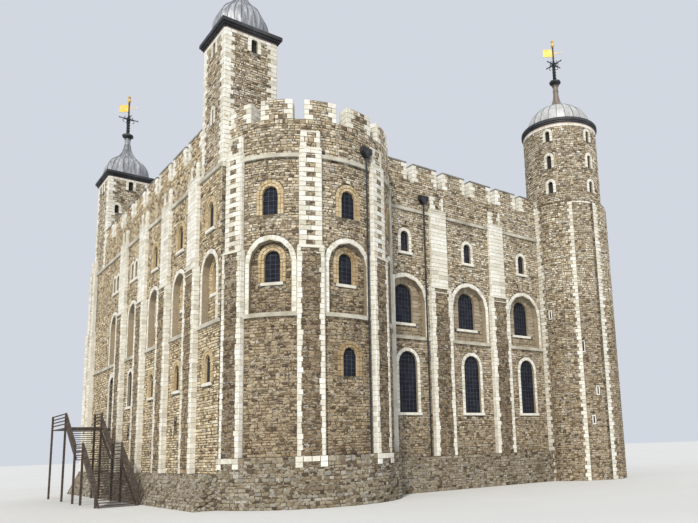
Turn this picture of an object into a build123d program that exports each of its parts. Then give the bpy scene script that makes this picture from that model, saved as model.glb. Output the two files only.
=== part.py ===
from build123d import *
import math
import os

os.makedirs("parts", exist_ok=True)

# A castle keep as a 1:10 model in millimetres, so 100 is one metre of the real keep.
# X runs east, Y north and Z up, and the origin is under the middle of the whole outline.

# Main block
south_length = 3260.0
wall_thickness = 340.0
wall_top = 2060.0
batter_reach = 130.0

# Storeys
floor_thickness = 40.0
basement_floor_top = 40.0
entrance_floor_top = 540.0
upper_floor_top = 1090.0
gallery_floor_top = 1670.0

# Parapet
parapet_thickness = 90.0
crenel_sill = 2310.0
merlon_top = 2440.0
merlon_width = 255.0
crenel_width = 62.0
coping_thickness = 12.0
coping_overhang = 5.0

# Bays of the four fronts, the first of each counted from its right-hand or southern corner
south_bays = 5
south_first_bay = 175.0
south_bay_pitch = 555.0
south_first_pier = 440.0
east_bays = 3
east_bay_pitch = 620.0
east_bay_past_apse = 156.0
west_bays = 5
west_bay_pitch = 510.0
north_bays = 4
north_bay_pitch = 570.0
north_first_bay = 780.0

# Pilasters: widths, projections and tops of the lower, middle and top stage
pilaster_widths = (190.0, 150.0, 125.0)
pilaster_projections = (38.0, 28.0, 18.0)
pilaster_tops = (1505.0, 2120.0, 2230.0)
weathering = 10.0
plinth_top = 245.0
plinth_projection = 50.0
batter_top = 200.0

# Windows: width, sill height and head height
gallery_window = (72.0, 1740.0, 1900.0)
south_gallery_window = (96.0, 1705.0, 1885.0)
east_recess_window = (170.0, 1212.0, 1505.0)
south_recess_window = (100.0, 1300.0, 1497.0)
east_lower_window = (163.0, 558.0, 1000.0)
south_lower_window = (95.0, 738.0, 912.0)
tall_lower_window = (110.0, 710.0, 990.0)
doorway = (150.0, 560.0, 1000.0)
twin_light = (60.0, 1750.0, 1890.0)
twin_spacing = 110.0
slit_window = (30.0, 480.0, 540.0)
arch_chords = 6
small_arch_chords = 4
small_arch_width = 100.0

# Blind arched recesses round the upper windows, standing on the lower string course
recess_string_top = 1110.0
east_recess = (342.0, recess_string_top, 1550.0)
south_recess = (232.0, recess_string_top, 1545.0)
apse_recess = (262.0, recess_string_top, 1550.0)
recess_depth = 40.0
ring_width = 28.0
door_ring_width = 45.0
dressing_proud = 4.0
sill_height = 18.0
sill_end = 20.0
sill_projection = 8.0
glass_depth = 15.0
glass_thickness = 4.0
glass_clearance = 0.3

# String courses
string_height = 24.0
string_projection = 14.0
top_string_top = 2085.0

# Apse at the south-east corner
apse_radius = 585.0
apse_wall = 240.0
apse_inner_sides = 24
apse_centre_in = 130.0
apse_centre_along = 620.0
apse_pilaster_first = -71.0
apse_pilaster_pitch = 47.0
apse_pilaster_count = 4
apse_pilaster_widths = (153.0, 130.0, 115.0)
apse_plinth_top = 285.0
apse_merlon_pitch = 26.5
apse_merlon_first = -70.5
apse_crenels = 6
apse_crenel_width = 74.0

# Turrets
turret_wall = 70.0
southeast_side = 355.0
west_side = 400.0
square_turret_top = 3010.0
round_centre_out = 40.0
round_centre_in = 320.0
round_radius = 330.0
round_ledge_depth = 15.0
round_lower_wall = 140.0
round_inner_sides = 16
round_strip_projection = 20.0
round_strip_width = 125.0
round_strip_angles = (-94.0, -50.0, 0.0, 50.0)
round_strip_clearance = 3.0
round_bay_clearance = 14.0
round_ledge = 2380.0
round_turret_top = 3120.0

# Turret windows, and the spacing of the round turret's ones by angle
turret_top_light = (42.0, 2895.0, 2990.0)
turret_low_light = (38.0, 2645.0, 2725.0)
turret_slit = (22.0, 2410.0, 2510.0)
low_light_off_centre = 120.0
southeast_light_off_centre = 20.0
round_top_light = (38.0, 2962.0, 3060.0)
round_middle_light = (40.0, 2710.0, 2830.0)
round_low_light = (42.0, 2480.0, 2585.0)
round_light_first = -69.0
round_light_pitch = 66.0
round_lights = 3

# Cornices: overhang and height of each step, from the bottom
cornice_steps = ((10.0, 12.0), (19.0, 14.0), (29.0, 24.0))
round_cornice_share = 0.6

# Lead cupolas: inset from the wall face, upright foot, top and radius of the shoulder and
# the angle that it turns through, then top of the flaring neck
square_dome = (8.0, 60.0, 222.0, 104.0, 56.0, 405.0)
round_dome = (42.0, 20.0, 262.0, 70.0, 66.0, 415.0)
flare_turn = 50.0
neck_radius = 24.0
square_dome_sides = 8
round_dome_sides = 24
cupola_chords = 5

# Finials and weather vanes
square_neck_top = 447.0
round_neck_top = 485.0
collar_radius = 32.0
collar_height = 10.0
ball_radius = 54.0
ball_height = 58.0
ball_shoulders = (0.35, 0.65)
spindle_radius = 6.0
spindle_side = 16.0
finial_sides = 8
spindle_above_ball = 420.0
arm_reach = 95.0
arm_side = 7.0
arm_height = 190.0
vane_flag_length = 95.0
vane_flag_height = 78.0
vane_flag_drop = 72.0
vane_pointer_length = 95.0
vane_pointer_height = 8.0
vane_plate = 4.0
vane_heading = 50.0
vane_sleeve_radius = 10.0
vane_sleeve_foot = 30.0
vane_cap = 10.0
vane_orb_radius = 16.0
vane_clearance = 0.5
vane_seat = 0.3

# Roofs
roof_eaves = 1900.0
roof_ridge = 2050.0
roof_thickness = 20.0
apse_roof_top = 2030.0

# Rainwater pipes: place, and the height and half-width of their hoppers
east_pipe_past_bay = 175.0
apse_pipe_angle = 12.5
pipe_radius = 6.0
hopper_top = 2200.0
hopper_height = 65.0
hopper_half = 40.0
hopper_depth = 34.0

# Timber stair
stair_width = 240.0
stair_gap = 160.0
top_landing_west = 90.0
top_landing_length = 540.0
bridge_past_door = 60.0
middle_landing_length = 270.0
lower_risers = 19
upper_risers = 15
stair_going = 24.0
tread_overlap = 3.0
tread_thickness = 5.0
string_width = 8.0
string_depth = 30.0
string_above = 2.0
deck_thickness = 8.0
post_side = 14.0
post_inset = 10.0
foot_post_inset = 40.0
foot_post_level = 30.0
rail_height = 110.0
rail_heights = (110.0, 84.0, 58.0, 32.0)
rail_depth = 9.0
rail_thickness = 6.0

# Derived places
ring_half = east_recess[0] / 2 + ring_width
round_lower_radius = round_radius + round_ledge_depth
round_strip_reach = round_lower_radius + round_strip_projection + round_strip_clearance
pilaster_chord = math.sqrt((apse_radius + pilaster_projections[0]) ** 2 - apse_centre_in ** 2)
east_first_bay = apse_centre_along + pilaster_chord + east_bay_past_apse
east_last_bay = east_first_bay + east_bay_pitch * (east_bays - 1)
round_centre_along = east_last_bay + ring_half + round_bay_clearance + round_strip_reach
east_length = round_centre_along + round_centre_in
x_reach_east = apse_radius - apse_centre_in + plinth_projection
y_reach_south = stair_gap + stair_width + post_side
x_east = (south_length + plinth_projection - x_reach_east) / 2
x_west = x_east - south_length
y_south = (y_reach_south - east_length - plinth_projection) / 2
y_north = y_south + east_length
south_inner = y_south + wall_thickness
apse_x = x_east - apse_centre_in
apse_y = y_south + apse_centre_along
apse_inner = apse_radius - apse_wall
apse_inner_chord = math.sqrt(apse_inner ** 2 - apse_centre_in ** 2)
apse_outer_chord = math.sqrt(apse_radius ** 2 - apse_centre_in ** 2)
east_start = apse_y + apse_inner_chord
beyond = 2 * apse_radius
round_x = x_east + round_centre_out
round_y = y_south + round_centre_along
drum_clear = round_lower_radius + glass_clearance
drum_north_chord = math.sqrt(drum_clear ** 2 - (y_north - round_y) ** 2)
drum_inner_chord = math.sqrt(drum_clear ** 2 - (round_centre_out + parapet_thickness) ** 2)
cornice_height = sum(height for overhang, height in cornice_steps)

# Sketch planes on the outer faces, each with its own X along the wall and Y up
south_face = Plane(origin=(0, y_south, 0), x_dir=(1, 0, 0), z_dir=(0, -1, 0))
east_face = Plane(origin=(x_east, 0, 0), x_dir=(0, 1, 0), z_dir=(1, 0, 0))
north_face = Plane(origin=(0, y_north, 0), x_dir=(-1, 0, 0), z_dir=(0, 1, 0))
west_face = Plane(origin=(x_west, 0, 0), x_dir=(0, -1, 0), z_dir=(-1, 0, 0))

south_centres = [x_east - south_first_bay - south_bay_pitch * i for i in range(south_bays)]
east_centres = [y_south + east_first_bay + east_bay_pitch * i for i in range(east_bays)]
north_centres = [-x_east + north_first_bay + north_bay_pitch * i for i in range(north_bays)]
west_middle = -(y_south + y_north) / 2
west_centres = [west_middle + west_bay_pitch * (i - (west_bays - 1) / 2) for i in range(west_bays)]
apse_pier_angles = [apse_pilaster_first + apse_pilaster_pitch * i for i in range(apse_pilaster_count)]
apse_bay_angles = [angle + apse_pilaster_pitch / 2 for angle in apse_pier_angles[:-1]]


def save(builder, name):
    """Label a finished piece and write it as its own STEP file."""
    builder.part.label = name
    export_step(builder.part, f"parts/{name}.step")


def radial_plane(angle, distance, cx=apse_x, cy=apse_y):
    """Upright plane square to a radius, at a distance from an upright axis."""
    a = math.radians(angle)
    origin = (cx + distance * math.cos(a), cy + distance * math.sin(a), 0)
    return Plane(origin=origin, x_dir=(-math.sin(a), math.cos(a), 0), z_dir=(math.cos(a), math.sin(a), 0))


def round_head(at, window, grow=0.0, mode=Mode.ADD):
    """Outline of a window at a place along its wall, its round head in short chords."""
    width, sill, head = window
    springing = head - width / 2
    radius = width / 2 + grow
    chords = small_arch_chords if width < small_arch_width else arch_chords
    points = [(at - radius, sill), (at + radius, sill)]
    for step in range(chords + 1):
        a = math.pi * step / chords
        points.append((at + radius * math.cos(a), springing + radius * math.sin(a)))
    Polygon(*points, align=None, mode=mode)


def cut(plane, shapes, depth):
    """Cut a list of (place, window) outlines into the part from a wall's face."""
    with BuildSketch(plane) as outline:
        for at, window in shapes:
            round_head(at, window)
    extrude(outline.sketch, amount=-depth, mode=Mode.SUBTRACT)


def dress(plane, shapes, width, proud=dressing_proud, sunk=0.0):
    """Bands of dressed stone round a list of (place, window) outlines, proud of the plane."""
    with BuildSketch(plane.offset(-sunk)) as outline:
        for at, window in shapes:
            round_head(at, window, width)
        for at, window in shapes:
            round_head(at, window, 0.0, Mode.SUBTRACT)
    extrude(outline.sketch, amount=proud + sunk)


def lay_sills(plane, shapes):
    """A projecting sill under each of a list of (place, window) outlines."""
    for at, (width, sill, head) in shapes:
        with BuildSketch(plane) as outline:
            with Locations((at, sill)):
                Rectangle(width + 2 * sill_end, sill_height, align=(Align.CENTER, Align.MAX))
        extrude(outline.sketch, amount=sill_projection)


def glaze(plane, shapes):
    """A pane in each of a list of (place, window) outlines, set back from the plane."""
    with BuildSketch(plane.offset(-glass_depth)) as outline:
        for at, window in shapes:
            round_head(at, window, -glass_clearance)
    extrude(outline.sketch, amount=-glass_thickness)


def slab(x0, x1, y0, y1, z0, z1):
    """Upright block between two corners."""
    with Locations((x0, y0, z0)):
        Box(x1 - x0, y1 - y0, z1 - z0, align=(Align.MIN, Align.MIN, Align.MIN))


def keep_outside_east():
    """Keep the part of a plan sketch that lies east of the east face."""
    with Locations((x_east, apse_y)):
        Rectangle(beyond, 2 * beyond, align=(Align.MIN, Align.CENTER), mode=Mode.INTERSECT)


def pier(plane, centre, foot, widths, shift=0.0):
    """Pilaster of three stages, each with a weathered top and narrower than the one below."""
    base = foot
    next_projections = (*pilaster_projections[1:], 0.0)
    for width, out, next_out, top in zip(widths, pilaster_projections, next_projections, pilaster_tops):
        start = centre + shift * width / 2 - width / 2
        side = Plane(origin=plane.from_local_coords((start, 0, 0)), x_dir=plane.z_dir, z_dir=-plane.x_dir)
        points = [(0, top), (0, base), (out, base), (out, top - weathering)]
        if next_out:
            points.append((next_out, top))
        with BuildSketch(side) as section:
            Polygon(*points, align=None)
        extrude(section.sketch, amount=-width)
        base = top


def crenellate(length):
    """Places of the merlons, evenly spread along a length, and their width there."""
    count = max(1, round((length + crenel_width) / (merlon_width + crenel_width)))
    pitch = (length + crenel_width) / count
    return [pitch * (i + 0.5) - (length + crenel_width) / 2 for i in range(count)], pitch - crenel_width


def clear_drum(top):
    """Cut the round turret's drum out of a piece that runs up to it."""
    with Locations((round_x, round_y, 0)):
        Cylinder(drum_clear, top, align=(Align.CENTER, Align.CENTER, Align.MIN), mode=Mode.SUBTRACT)


def lay_strips():
    """Plan of the upright strips on the round turret, each from within its wall outwards."""
    for angle in round_strip_angles:
        with Locations(radial_plane(angle, round_lower_radius, round_x, round_y).origin):
            Rectangle(2 * round_strip_projection, round_strip_width, rotation=angle)


# Windows of each front, as places along the wall with their outlines
south_gallery = [(at, south_gallery_window) for at in south_centres[:3]]
for middle in south_centres[3:]:
    south_gallery += [(middle + side * twin_spacing / 2, twin_light) for side in (-1, 1)]
south_upper = [(at, south_recess_window) for at in south_centres]
south_lower = [(at, south_lower_window) for at in south_centres[:3]]
south_lower.append((south_centres[3], tall_lower_window))
south_slits = [(at, slit_window) for at in (south_centres[1], south_centres[3])]
south_door = [(south_centres[4], doorway)]
south_recesses = [(at, south_recess) for at in south_centres]
east_gallery = [(at, gallery_window) for at in east_centres]
east_upper = [(at, east_recess_window) for at in east_centres]
east_lower = [(at, east_lower_window) for at in east_centres]
east_recesses = [(at, east_recess) for at in east_centres]
north_gallery = [(at, gallery_window) for at in north_centres]
north_upper = [(at, south_recess_window) for at in north_centres]
north_lower = [(at, tall_lower_window) for at in north_centres]
north_recesses = [(at, south_recess) for at in north_centres]
west_gallery = [(at, gallery_window) for at in west_centres]
west_upper = [(at, south_recess_window) for at in west_centres]
west_lower = [(at, tall_lower_window) for at in west_centres]
west_recesses = [(at, south_recess) for at in west_centres]
apse_gallery = [(0, south_gallery_window)]
apse_flush = [apse_gallery, [*apse_gallery, (0, south_lower_window)], apse_gallery]
apse_upper = [(0, south_recess_window)]
apse_recesses = [(0, apse_recess)]

# South wall, split beside, over and under the entrance doorway
door_x = south_centres[4]
door_west = door_x - doorway[0] / 2
door_east = door_x + doorway[0] / 2
door_springing = doorway[2] - doorway[0] / 2
south_holes = south_gallery + south_upper + south_lower + south_slits
with BuildPart() as south_wall:
    slab(door_east, x_east, y_south, south_inner, 0, wall_top)
    cut(south_face, south_holes, wall_thickness)
    cut(south_face, south_recesses, recess_depth)
save(south_wall, "south_wall")

with BuildPart() as south_wall_west_end:
    slab(x_west, door_west, y_south, south_inner, 0, wall_top)
    cut(south_face, south_holes, wall_thickness)
    cut(south_face, south_recesses, recess_depth)
save(south_wall_west_end, "south_wall_west_end")

with BuildPart() as doorway_head:
    slab(door_west, door_east, y_south, south_inner, door_springing, wall_top)
    cut(south_face, south_holes + south_door, wall_thickness)
    cut(south_face, south_recesses, recess_depth)
save(doorway_head, "doorway_head")

with BuildPart() as doorway_footing:
    slab(door_west, door_east, y_south, south_inner, 0, doorway[1])
save(doorway_footing, "doorway_footing")

# East wall, from the north side of the apse to the north wall
with BuildPart() as east_wall:
    slab(x_east - wall_thickness, x_east, east_start, y_north - wall_thickness, 0, wall_top)
    cut(east_face, east_gallery + east_upper + east_lower, wall_thickness)
    cut(east_face, east_recesses, recess_depth)
save(east_wall, "east_wall")

with BuildPart() as north_wall:
    slab(x_west, x_east, y_north - wall_thickness, y_north, 0, wall_top)
    cut(north_face, north_gallery + north_upper + north_lower, wall_thickness)
    cut(north_face, north_recesses, recess_depth)
save(north_wall, "north_wall")

with BuildPart() as west_wall:
    slab(x_west, x_west + wall_thickness, south_inner, y_north - wall_thickness, 0, wall_top)
    cut(west_face, west_gallery + west_upper + west_lower, wall_thickness)
    cut(west_face, west_recesses, recess_depth)
save(west_wall, "west_wall")

# Apse: a half-round wall in three bays, divided behind its middle pilasters
apse_faces = [radial_plane(angle, apse_radius) for angle in apse_bay_angles]
bay_ends = [-90.0, apse_pier_angles[1], apse_pier_angles[2], 90.0]
for index, name in enumerate(("apse_south_bay", "apse_east_bay", "apse_north_bay")):
    start, end = bay_ends[index], bay_ends[index + 1]
    with BuildPart() as apse_bay:
        with BuildSketch(Plane.XY) as plan:
            with Locations((apse_x, apse_y)):
                Circle(apse_radius)
                RegularPolygon(apse_inner, apse_inner_sides, mode=Mode.SUBTRACT)
            corners = [(apse_x, apse_y)]
            for angle in (start, (start + end) / 2, end):
                a = math.radians(angle)
                corners.append((apse_x + beyond * math.cos(a), apse_y + beyond * math.sin(a)))
            with BuildLine():
                Polyline(*corners, close=True)
            make_face(mode=Mode.INTERSECT)
            keep_outside_east()
        extrude(plan.sketch, amount=wall_top)
        cut(apse_faces[index], apse_flush[index] + apse_upper, apse_wall + recess_depth)
        cut(apse_faces[index], apse_recesses, recess_depth)
    save(apse_bay, name)

# Floors of the four storeys, each running into the apse
room_west = x_west + wall_thickness
room_east = x_east - wall_thickness
room_north = y_north - wall_thickness
floors = {
    "basement_floor": basement_floor_top,
    "entrance_floor": entrance_floor_top,
    "upper_floor": upper_floor_top,
    "gallery_floor": gallery_floor_top,
}
for name, top in floors.items():
    with BuildPart() as floor:
        with BuildSketch(Plane.XY.offset(top - floor_thickness)) as plan:
            with Locations((apse_x, apse_y)):
                RegularPolygon(apse_inner, apse_inner_sides)
            keep_outside_east()
            with Locations((room_west, south_inner)):
                Rectangle(room_east - room_west, room_north - south_inner, align=(Align.MIN, Align.MIN))
            with Locations((room_east, south_inner)):
                Rectangle(wall_thickness, east_start - south_inner, align=(Align.MIN, Align.MIN))
        extrude(plan.sketch, amount=floor_thickness)
    save(floor, name)

# Twin low-pitched lead roof, kept below the wall walk, and a flat one over the apse
roof_span = (room_east - room_west) / 2
top_edge = [
    (room_west, roof_eaves),
    (room_west + roof_span / 2, roof_ridge),
    (room_west + roof_span, roof_eaves),
    (room_east - roof_span / 2, roof_ridge),
    (room_east, roof_eaves),
]
with BuildPart() as main_roof:
    with BuildSketch(Plane.XZ.offset(-south_inner)) as section:
        with BuildLine():
            Polyline(*top_edge, *[(x, z - roof_thickness) for x, z in reversed(top_edge)], close=True)
        make_face()
    extrude(section.sketch, amount=-(room_north - south_inner))
save(main_roof, "main_roof")

with BuildPart() as apse_roof:
    with BuildSketch(Plane.XY.offset(apse_roof_top - roof_thickness)) as plan:
        with Locations((apse_x, apse_y)):
            RegularPolygon(apse_inner, apse_inner_sides)
        keep_outside_east()
        with Locations((x_east, south_inner)):
            Rectangle(wall_thickness, east_start - south_inner, align=(Align.MAX, Align.MIN))
    extrude(plan.sketch, amount=roof_thickness)
save(apse_roof, "apse_roof")

# Parapets, with solid wall up to the crenel sills, merlons above, and copings on these
parapet_runs = {
    "south_parapet": (south_face, x_west + west_side, x_east - southeast_side),
    "east_parapet": (east_face, apse_y + apse_outer_chord, round_y - drum_inner_chord),
    "north_parapet": (north_face, -round_x + drum_north_chord, -x_west - west_side),
    "west_parapet": (west_face, -y_north + west_side, -y_south - west_side),
}
for name, (plane, start, end) in parapet_runs.items():
    places, width = crenellate(end - start)
    with BuildPart() as wall_top_parapet:
        with BuildSketch(plane) as outline:
            with Locations((start, wall_top)):
                Rectangle(end - start, crenel_sill - wall_top, align=(Align.MIN, Align.MIN))
            with Locations(*[((start + end) / 2 + place, crenel_sill) for place in places]):
                Rectangle(width, merlon_top - crenel_sill, align=(Align.CENTER, Align.MIN))
        extrude(outline.sketch, amount=-parapet_thickness)
        clear_drum(round_turret_top)
    save(wall_top_parapet, name)

with BuildPart() as merlon_copings:
    for plane, start, end in parapet_runs.values():
        places, width = crenellate(end - start)
        with BuildSketch(plane.offset(coping_overhang)) as outline:
            with Locations(*[((start + end) / 2 + place, merlon_top) for place in places]):
                Rectangle(width, coping_thickness, align=(Align.CENTER, Align.MIN))
        extrude(outline.sketch, amount=-(parapet_thickness + 2 * coping_overhang))
    clear_drum(round_turret_top)
save(merlon_copings, "merlon_copings")

# Apse parapet: a curved wall with a crenel cut between each pair of merlons
with BuildPart() as apse_parapet:
    with BuildSketch(Plane.XY.offset(wall_top)) as plan:
        with Locations((apse_x, apse_y)):
            Circle(apse_radius)
            Circle(apse_radius - parapet_thickness, mode=Mode.SUBTRACT)
        keep_outside_east()
    extrude(plan.sketch, amount=merlon_top - wall_top)
    for index in range(apse_crenels):
        angle = apse_merlon_first + apse_merlon_pitch * (index + 0.5)
        with BuildSketch(radial_plane(angle, apse_radius + parapet_thickness)) as gap:
            with Locations((0, crenel_sill)):
                Rectangle(apse_crenel_width, merlon_top, align=(Align.CENTER, Align.MIN))
        extrude(gap.sketch, amount=-3 * parapet_thickness, mode=Mode.SUBTRACT)
save(apse_parapet, "apse_parapet")

# Pilasters between the bays, and clasping piers at the two western corners
south_piers = [x_east - south_first_pier - south_bay_pitch * i for i in range(south_bays - 1)]
east_piers = [(a + b) / 2 for a, b in zip(east_centres, east_centres[1:])]
north_piers = [(a + b) / 2 for a, b in zip(north_centres, north_centres[1:])]
west_piers = [(a + b) / 2 for a, b in zip(west_centres, west_centres[1:])]
with BuildPart() as south_pilasters:
    for at in south_piers:
        pier(south_face, at, batter_top, pilaster_widths)
    pier(south_face, x_west, batter_top, pilaster_widths, 1)
save(south_pilasters, "south_pilasters")

with BuildPart() as east_pilasters:
    for at in east_piers:
        pier(east_face, at, plinth_top, pilaster_widths)
save(east_pilasters, "east_pilasters")

with BuildPart() as north_pilasters:
    for at in north_piers:
        pier(north_face, at, plinth_top, pilaster_widths)
    pier(north_face, -x_west, plinth_top, pilaster_widths, -1)
save(north_pilasters, "north_pilasters")

with BuildPart() as west_pilasters:
    for at in west_piers:
        pier(west_face, at, plinth_top, pilaster_widths)
    pier(west_face, -y_south, plinth_top, pilaster_widths, -1)
    pier(west_face, -y_north, plinth_top, pilaster_widths, 1)
save(west_pilasters, "west_pilasters")

with BuildPart() as apse_pilasters:
    for angle in apse_pier_angles:
        base = apse_plinth_top
        for width, projection, top in zip(apse_pilaster_widths, pilaster_projections, pilaster_tops):
            with BuildSketch(Plane.XY.offset(base)) as stage:
                with Locations((apse_x, apse_y)):
                    Circle(apse_radius + projection)
                with Locations(radial_plane(angle, apse_radius).origin):
                    Rectangle(2 * parapet_thickness, width, rotation=angle, mode=Mode.INTERSECT)
                with Locations((apse_x, apse_y)):
                    Circle(apse_radius, mode=Mode.SUBTRACT)
                keep_outside_east()
            extrude(stage.sketch, amount=top - base)
            base = top
save(apse_pilasters, "apse_pilasters")

# String courses between the pilasters: one under the recesses and one under the parapet
piers_by_face = [
    (south_face, [x_west, *reversed(south_piers)], x_east, (1, 0)),
    (east_face, [apse_y + pilaster_chord, *east_piers], round_y - round_strip_reach, (0, 0)),
    (north_face, [-round_x + drum_north_chord, *north_piers], -x_west, (0, -1)),
    (west_face, [-y_north, *west_piers], -y_south, (1, -1)),
]
string_tops = (recess_string_top, top_string_top)
with BuildPart() as string_courses:
    for face, starts, finish, (first_pier, last_pier) in piers_by_face:
        for top, width in zip(string_tops, pilaster_widths):
            ends = [*starts[1:], finish]
            for index, (start, end) in enumerate(zip(starts, ends)):
                low = start + width / 2
                high = end - width / 2
                if index == 0:
                    low = start + first_pier * width
                if end == finish:
                    high = end + last_pier * width
                with BuildSketch(face) as band:
                    with Locations((low, top)):
                        Rectangle(high - low, string_height, align=(Align.MIN, Align.MAX))
                extrude(band.sketch, amount=string_projection)
    clear_drum(round_turret_top)
    for top, width in zip(string_tops, apse_pilaster_widths):
        with BuildSketch(Plane.XY.offset(top - string_height)) as band:
            with Locations((apse_x, apse_y)):
                Circle(apse_radius + string_projection)
                Circle(apse_radius, mode=Mode.SUBTRACT)
            for angle in apse_pier_angles:
                with Locations(radial_plane(angle, apse_radius).origin):
                    Rectangle(2 * parapet_thickness, width, rotation=angle, mode=Mode.SUBTRACT)
            keep_outside_east()
        extrude(band.sketch, amount=string_height)
save(string_courses, "string_courses")

# Battered foot of the south wall, and plinths round the rest
with BuildPart() as south_batter:
    with BuildSketch(Plane.YZ.offset(x_west - plinth_projection)) as section:
        with BuildLine():
            Polyline(
                (y_south, 0),
                (y_south, batter_top),
                (y_south - pilaster_projections[0], batter_top),
                (y_south - batter_reach, 0),
                close=True,
            )
        make_face()
    extrude(section.sketch, amount=south_length + plinth_projection)
save(south_batter, "south_batter")

plinth_chord = math.sqrt((apse_radius + plinth_projection) ** 2 - apse_centre_in ** 2)
wall_plinths = {
    "east_plinth": (east_face, apse_y + plinth_chord, round_y - round_strip_reach),
    "north_plinth": (north_face, -round_x + drum_north_chord, -x_west + plinth_projection),
    "west_plinth": (west_face, -y_north, -y_south),
}
for name, (plane, start, end) in wall_plinths.items():
    with BuildPart() as plinth:
        with BuildSketch(plane) as outline:
            with Locations((start, 0)):
                Rectangle(end - start, plinth_top, align=(Align.MIN, Align.MIN))
        extrude(outline.sketch, amount=plinth_projection)
        clear_drum(round_turret_top)
    save(plinth, name)

with BuildPart() as apse_plinth:
    with BuildSketch(Plane.XY) as plan:
        with Locations((apse_x, apse_y)):
            Circle(apse_radius + plinth_projection)
            Circle(apse_radius, mode=Mode.SUBTRACT)
        keep_outside_east()
    extrude(plan.sketch, amount=apse_plinth_top)
save(apse_plinth, "apse_plinth")

# Dressed stone rings round the recesses, window sills, and the panes behind them
fronts = {
    "south": (south_face, south_gallery + south_lower, south_upper, south_recesses),
    "east": (east_face, east_gallery + east_lower, east_upper, east_recesses),
    "north": (north_face, north_gallery + north_lower, north_upper, north_recesses),
    "west": (west_face, west_gallery + west_lower, west_upper, west_recesses),
}
for side, (face, flush, recessed, recesses) in fronts.items():
    with BuildPart() as dressings:
        dress(face, recesses, ring_width)
        if side == "south":
            dress(face, south_door, door_ring_width)
        lay_sills(face, flush)
        lay_sills(face.offset(-recess_depth), recessed)
        if side == "east":
            with Locations((x_east, apse_y + pilaster_chord, 0)):
                Box(beyond, beyond, wall_top, align=(Align.CENTER, Align.MAX, Align.MIN), mode=Mode.SUBTRACT)
    save(dressings, f"{side}_dressings")

with BuildPart() as apse_dressings:
    for face in apse_faces:
        dress(face, apse_recesses, ring_width, dressing_proud, recess_depth)
    with BuildSketch(Plane.XY) as shell:
        with Locations((apse_x, apse_y)):
            Circle(apse_radius + dressing_proud)
            Circle(apse_radius, mode=Mode.SUBTRACT)
    extrude(shell.sketch, amount=wall_top, mode=Mode.INTERSECT)
    for face in apse_faces:
        lay_sills(face.offset(-recess_depth), apse_upper)
save(apse_dressings, "apse_dressings")

with BuildPart() as window_glass:
    for face, flush, recessed, recesses in fronts.values():
        glaze(face, flush)
        glaze(face.offset(-recess_depth), recessed)
    for face, flush in zip(apse_faces, apse_flush):
        glaze(face, flush)
        glaze(face.offset(-recess_depth), apse_upper)
save(window_glass, "window_glass")

# Square turrets on the corners of the block, with small windows on every face
square_turrets = {
    "southeast": (x_east - southeast_side / 2, y_south + southeast_side / 2, southeast_side),
    "southwest": (x_west + west_side / 2, y_south + west_side / 2, west_side),
    "northwest": (x_west + west_side / 2, y_north - west_side / 2, west_side),
}
for corner, (cx, cy, side) in square_turrets.items():
    with BuildPart() as turret:
        with BuildSketch(Plane.XY.offset(wall_top)) as plan:
            with Locations((cx, cy)):
                Rectangle(side, side)
                Rectangle(side - 2 * turret_wall, side - 2 * turret_wall, mode=Mode.SUBTRACT)
        extrude(plan.sketch, amount=square_turret_top - wall_top)
        for angle in (-90, 0, 90, 180):
            face = radial_plane(angle, side / 2, cx, cy)
            top_light_at = southeast_light_off_centre if corner == "southeast" and angle == 0 else 0
            cut(face, [(top_light_at, turret_top_light)], turret_wall)
            if corner == "southeast" and angle == -90:
                cut(face, [(0, turret_slit)], turret_wall)
            if corner != "southeast" and angle in (0, 180):
                cut(face, [(-low_light_off_centre, turret_low_light)], turret_wall)
    save(turret, f"{corner}_turret")

# Round turret: drum with a wider foot, and below the wall top the shaft outside the block
round_windows = (round_top_light, round_middle_light, round_low_light)
round_window_angles = [round_light_first + round_light_pitch * i for i in range(round_lights)]
with BuildPart() as northeast_turret:
    with BuildSketch(Plane.XY.offset(wall_top)) as plan:
        with Locations((round_x, round_y)):
            Circle(round_radius)
            RegularPolygon(round_radius - turret_wall, round_inner_sides, mode=Mode.SUBTRACT)
    extrude(plan.sketch, amount=round_turret_top - wall_top)
    with BuildSketch(Plane.XY.offset(wall_top)) as foot:
        with Locations((round_x, round_y)):
            Circle(round_lower_radius)
            RegularPolygon(round_radius - turret_wall, round_inner_sides, mode=Mode.SUBTRACT)
    extrude(foot.sketch, amount=round_ledge - wall_top)
    with BuildSketch(Plane.XY.offset(wall_top)) as strips:
        lay_strips()
        with Locations((round_x, round_y)):
            Circle(round_radius, mode=Mode.SUBTRACT)
        with Locations((x_east, round_y)):
            Rectangle(beyond, 2 * beyond, align=(Align.MAX, Align.CENTER), mode=Mode.SUBTRACT)
    extrude(strips.sketch, amount=round_ledge - wall_top)
    for angle in round_window_angles:
        face = radial_plane(angle, round_lower_radius, round_x, round_y)
        cut(face, [(0, window) for window in round_windows], round_lower_wall)
save(northeast_turret, "northeast_turret")

with BuildPart() as northeast_turret_shaft:
    with BuildSketch(Plane.XY) as plan:
        with Locations((round_x, round_y)):
            Circle(round_lower_radius)
        lay_strips()
        with Locations((round_x, round_y)):
            RegularPolygon(round_lower_radius - round_lower_wall, round_inner_sides, mode=Mode.SUBTRACT)
        with Locations((x_east, y_north)):
            Rectangle(2 * beyond, 2 * beyond, align=(Align.MAX, Align.MAX), mode=Mode.SUBTRACT)
    extrude(plan.sketch, amount=wall_top)
save(northeast_turret_shaft, "northeast_turret_shaft")

# Each turret's axis, half-width, top, cupola and the height of its neck
turret_tops = {
    corner: (cx, cy, side / 2, square_turret_top, square_dome, square_neck_top)
    for corner, (cx, cy, side) in square_turrets.items()
}
turret_tops["northeast"] = (round_x, round_y, round_radius, round_turret_top, round_dome, round_neck_top)

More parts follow.
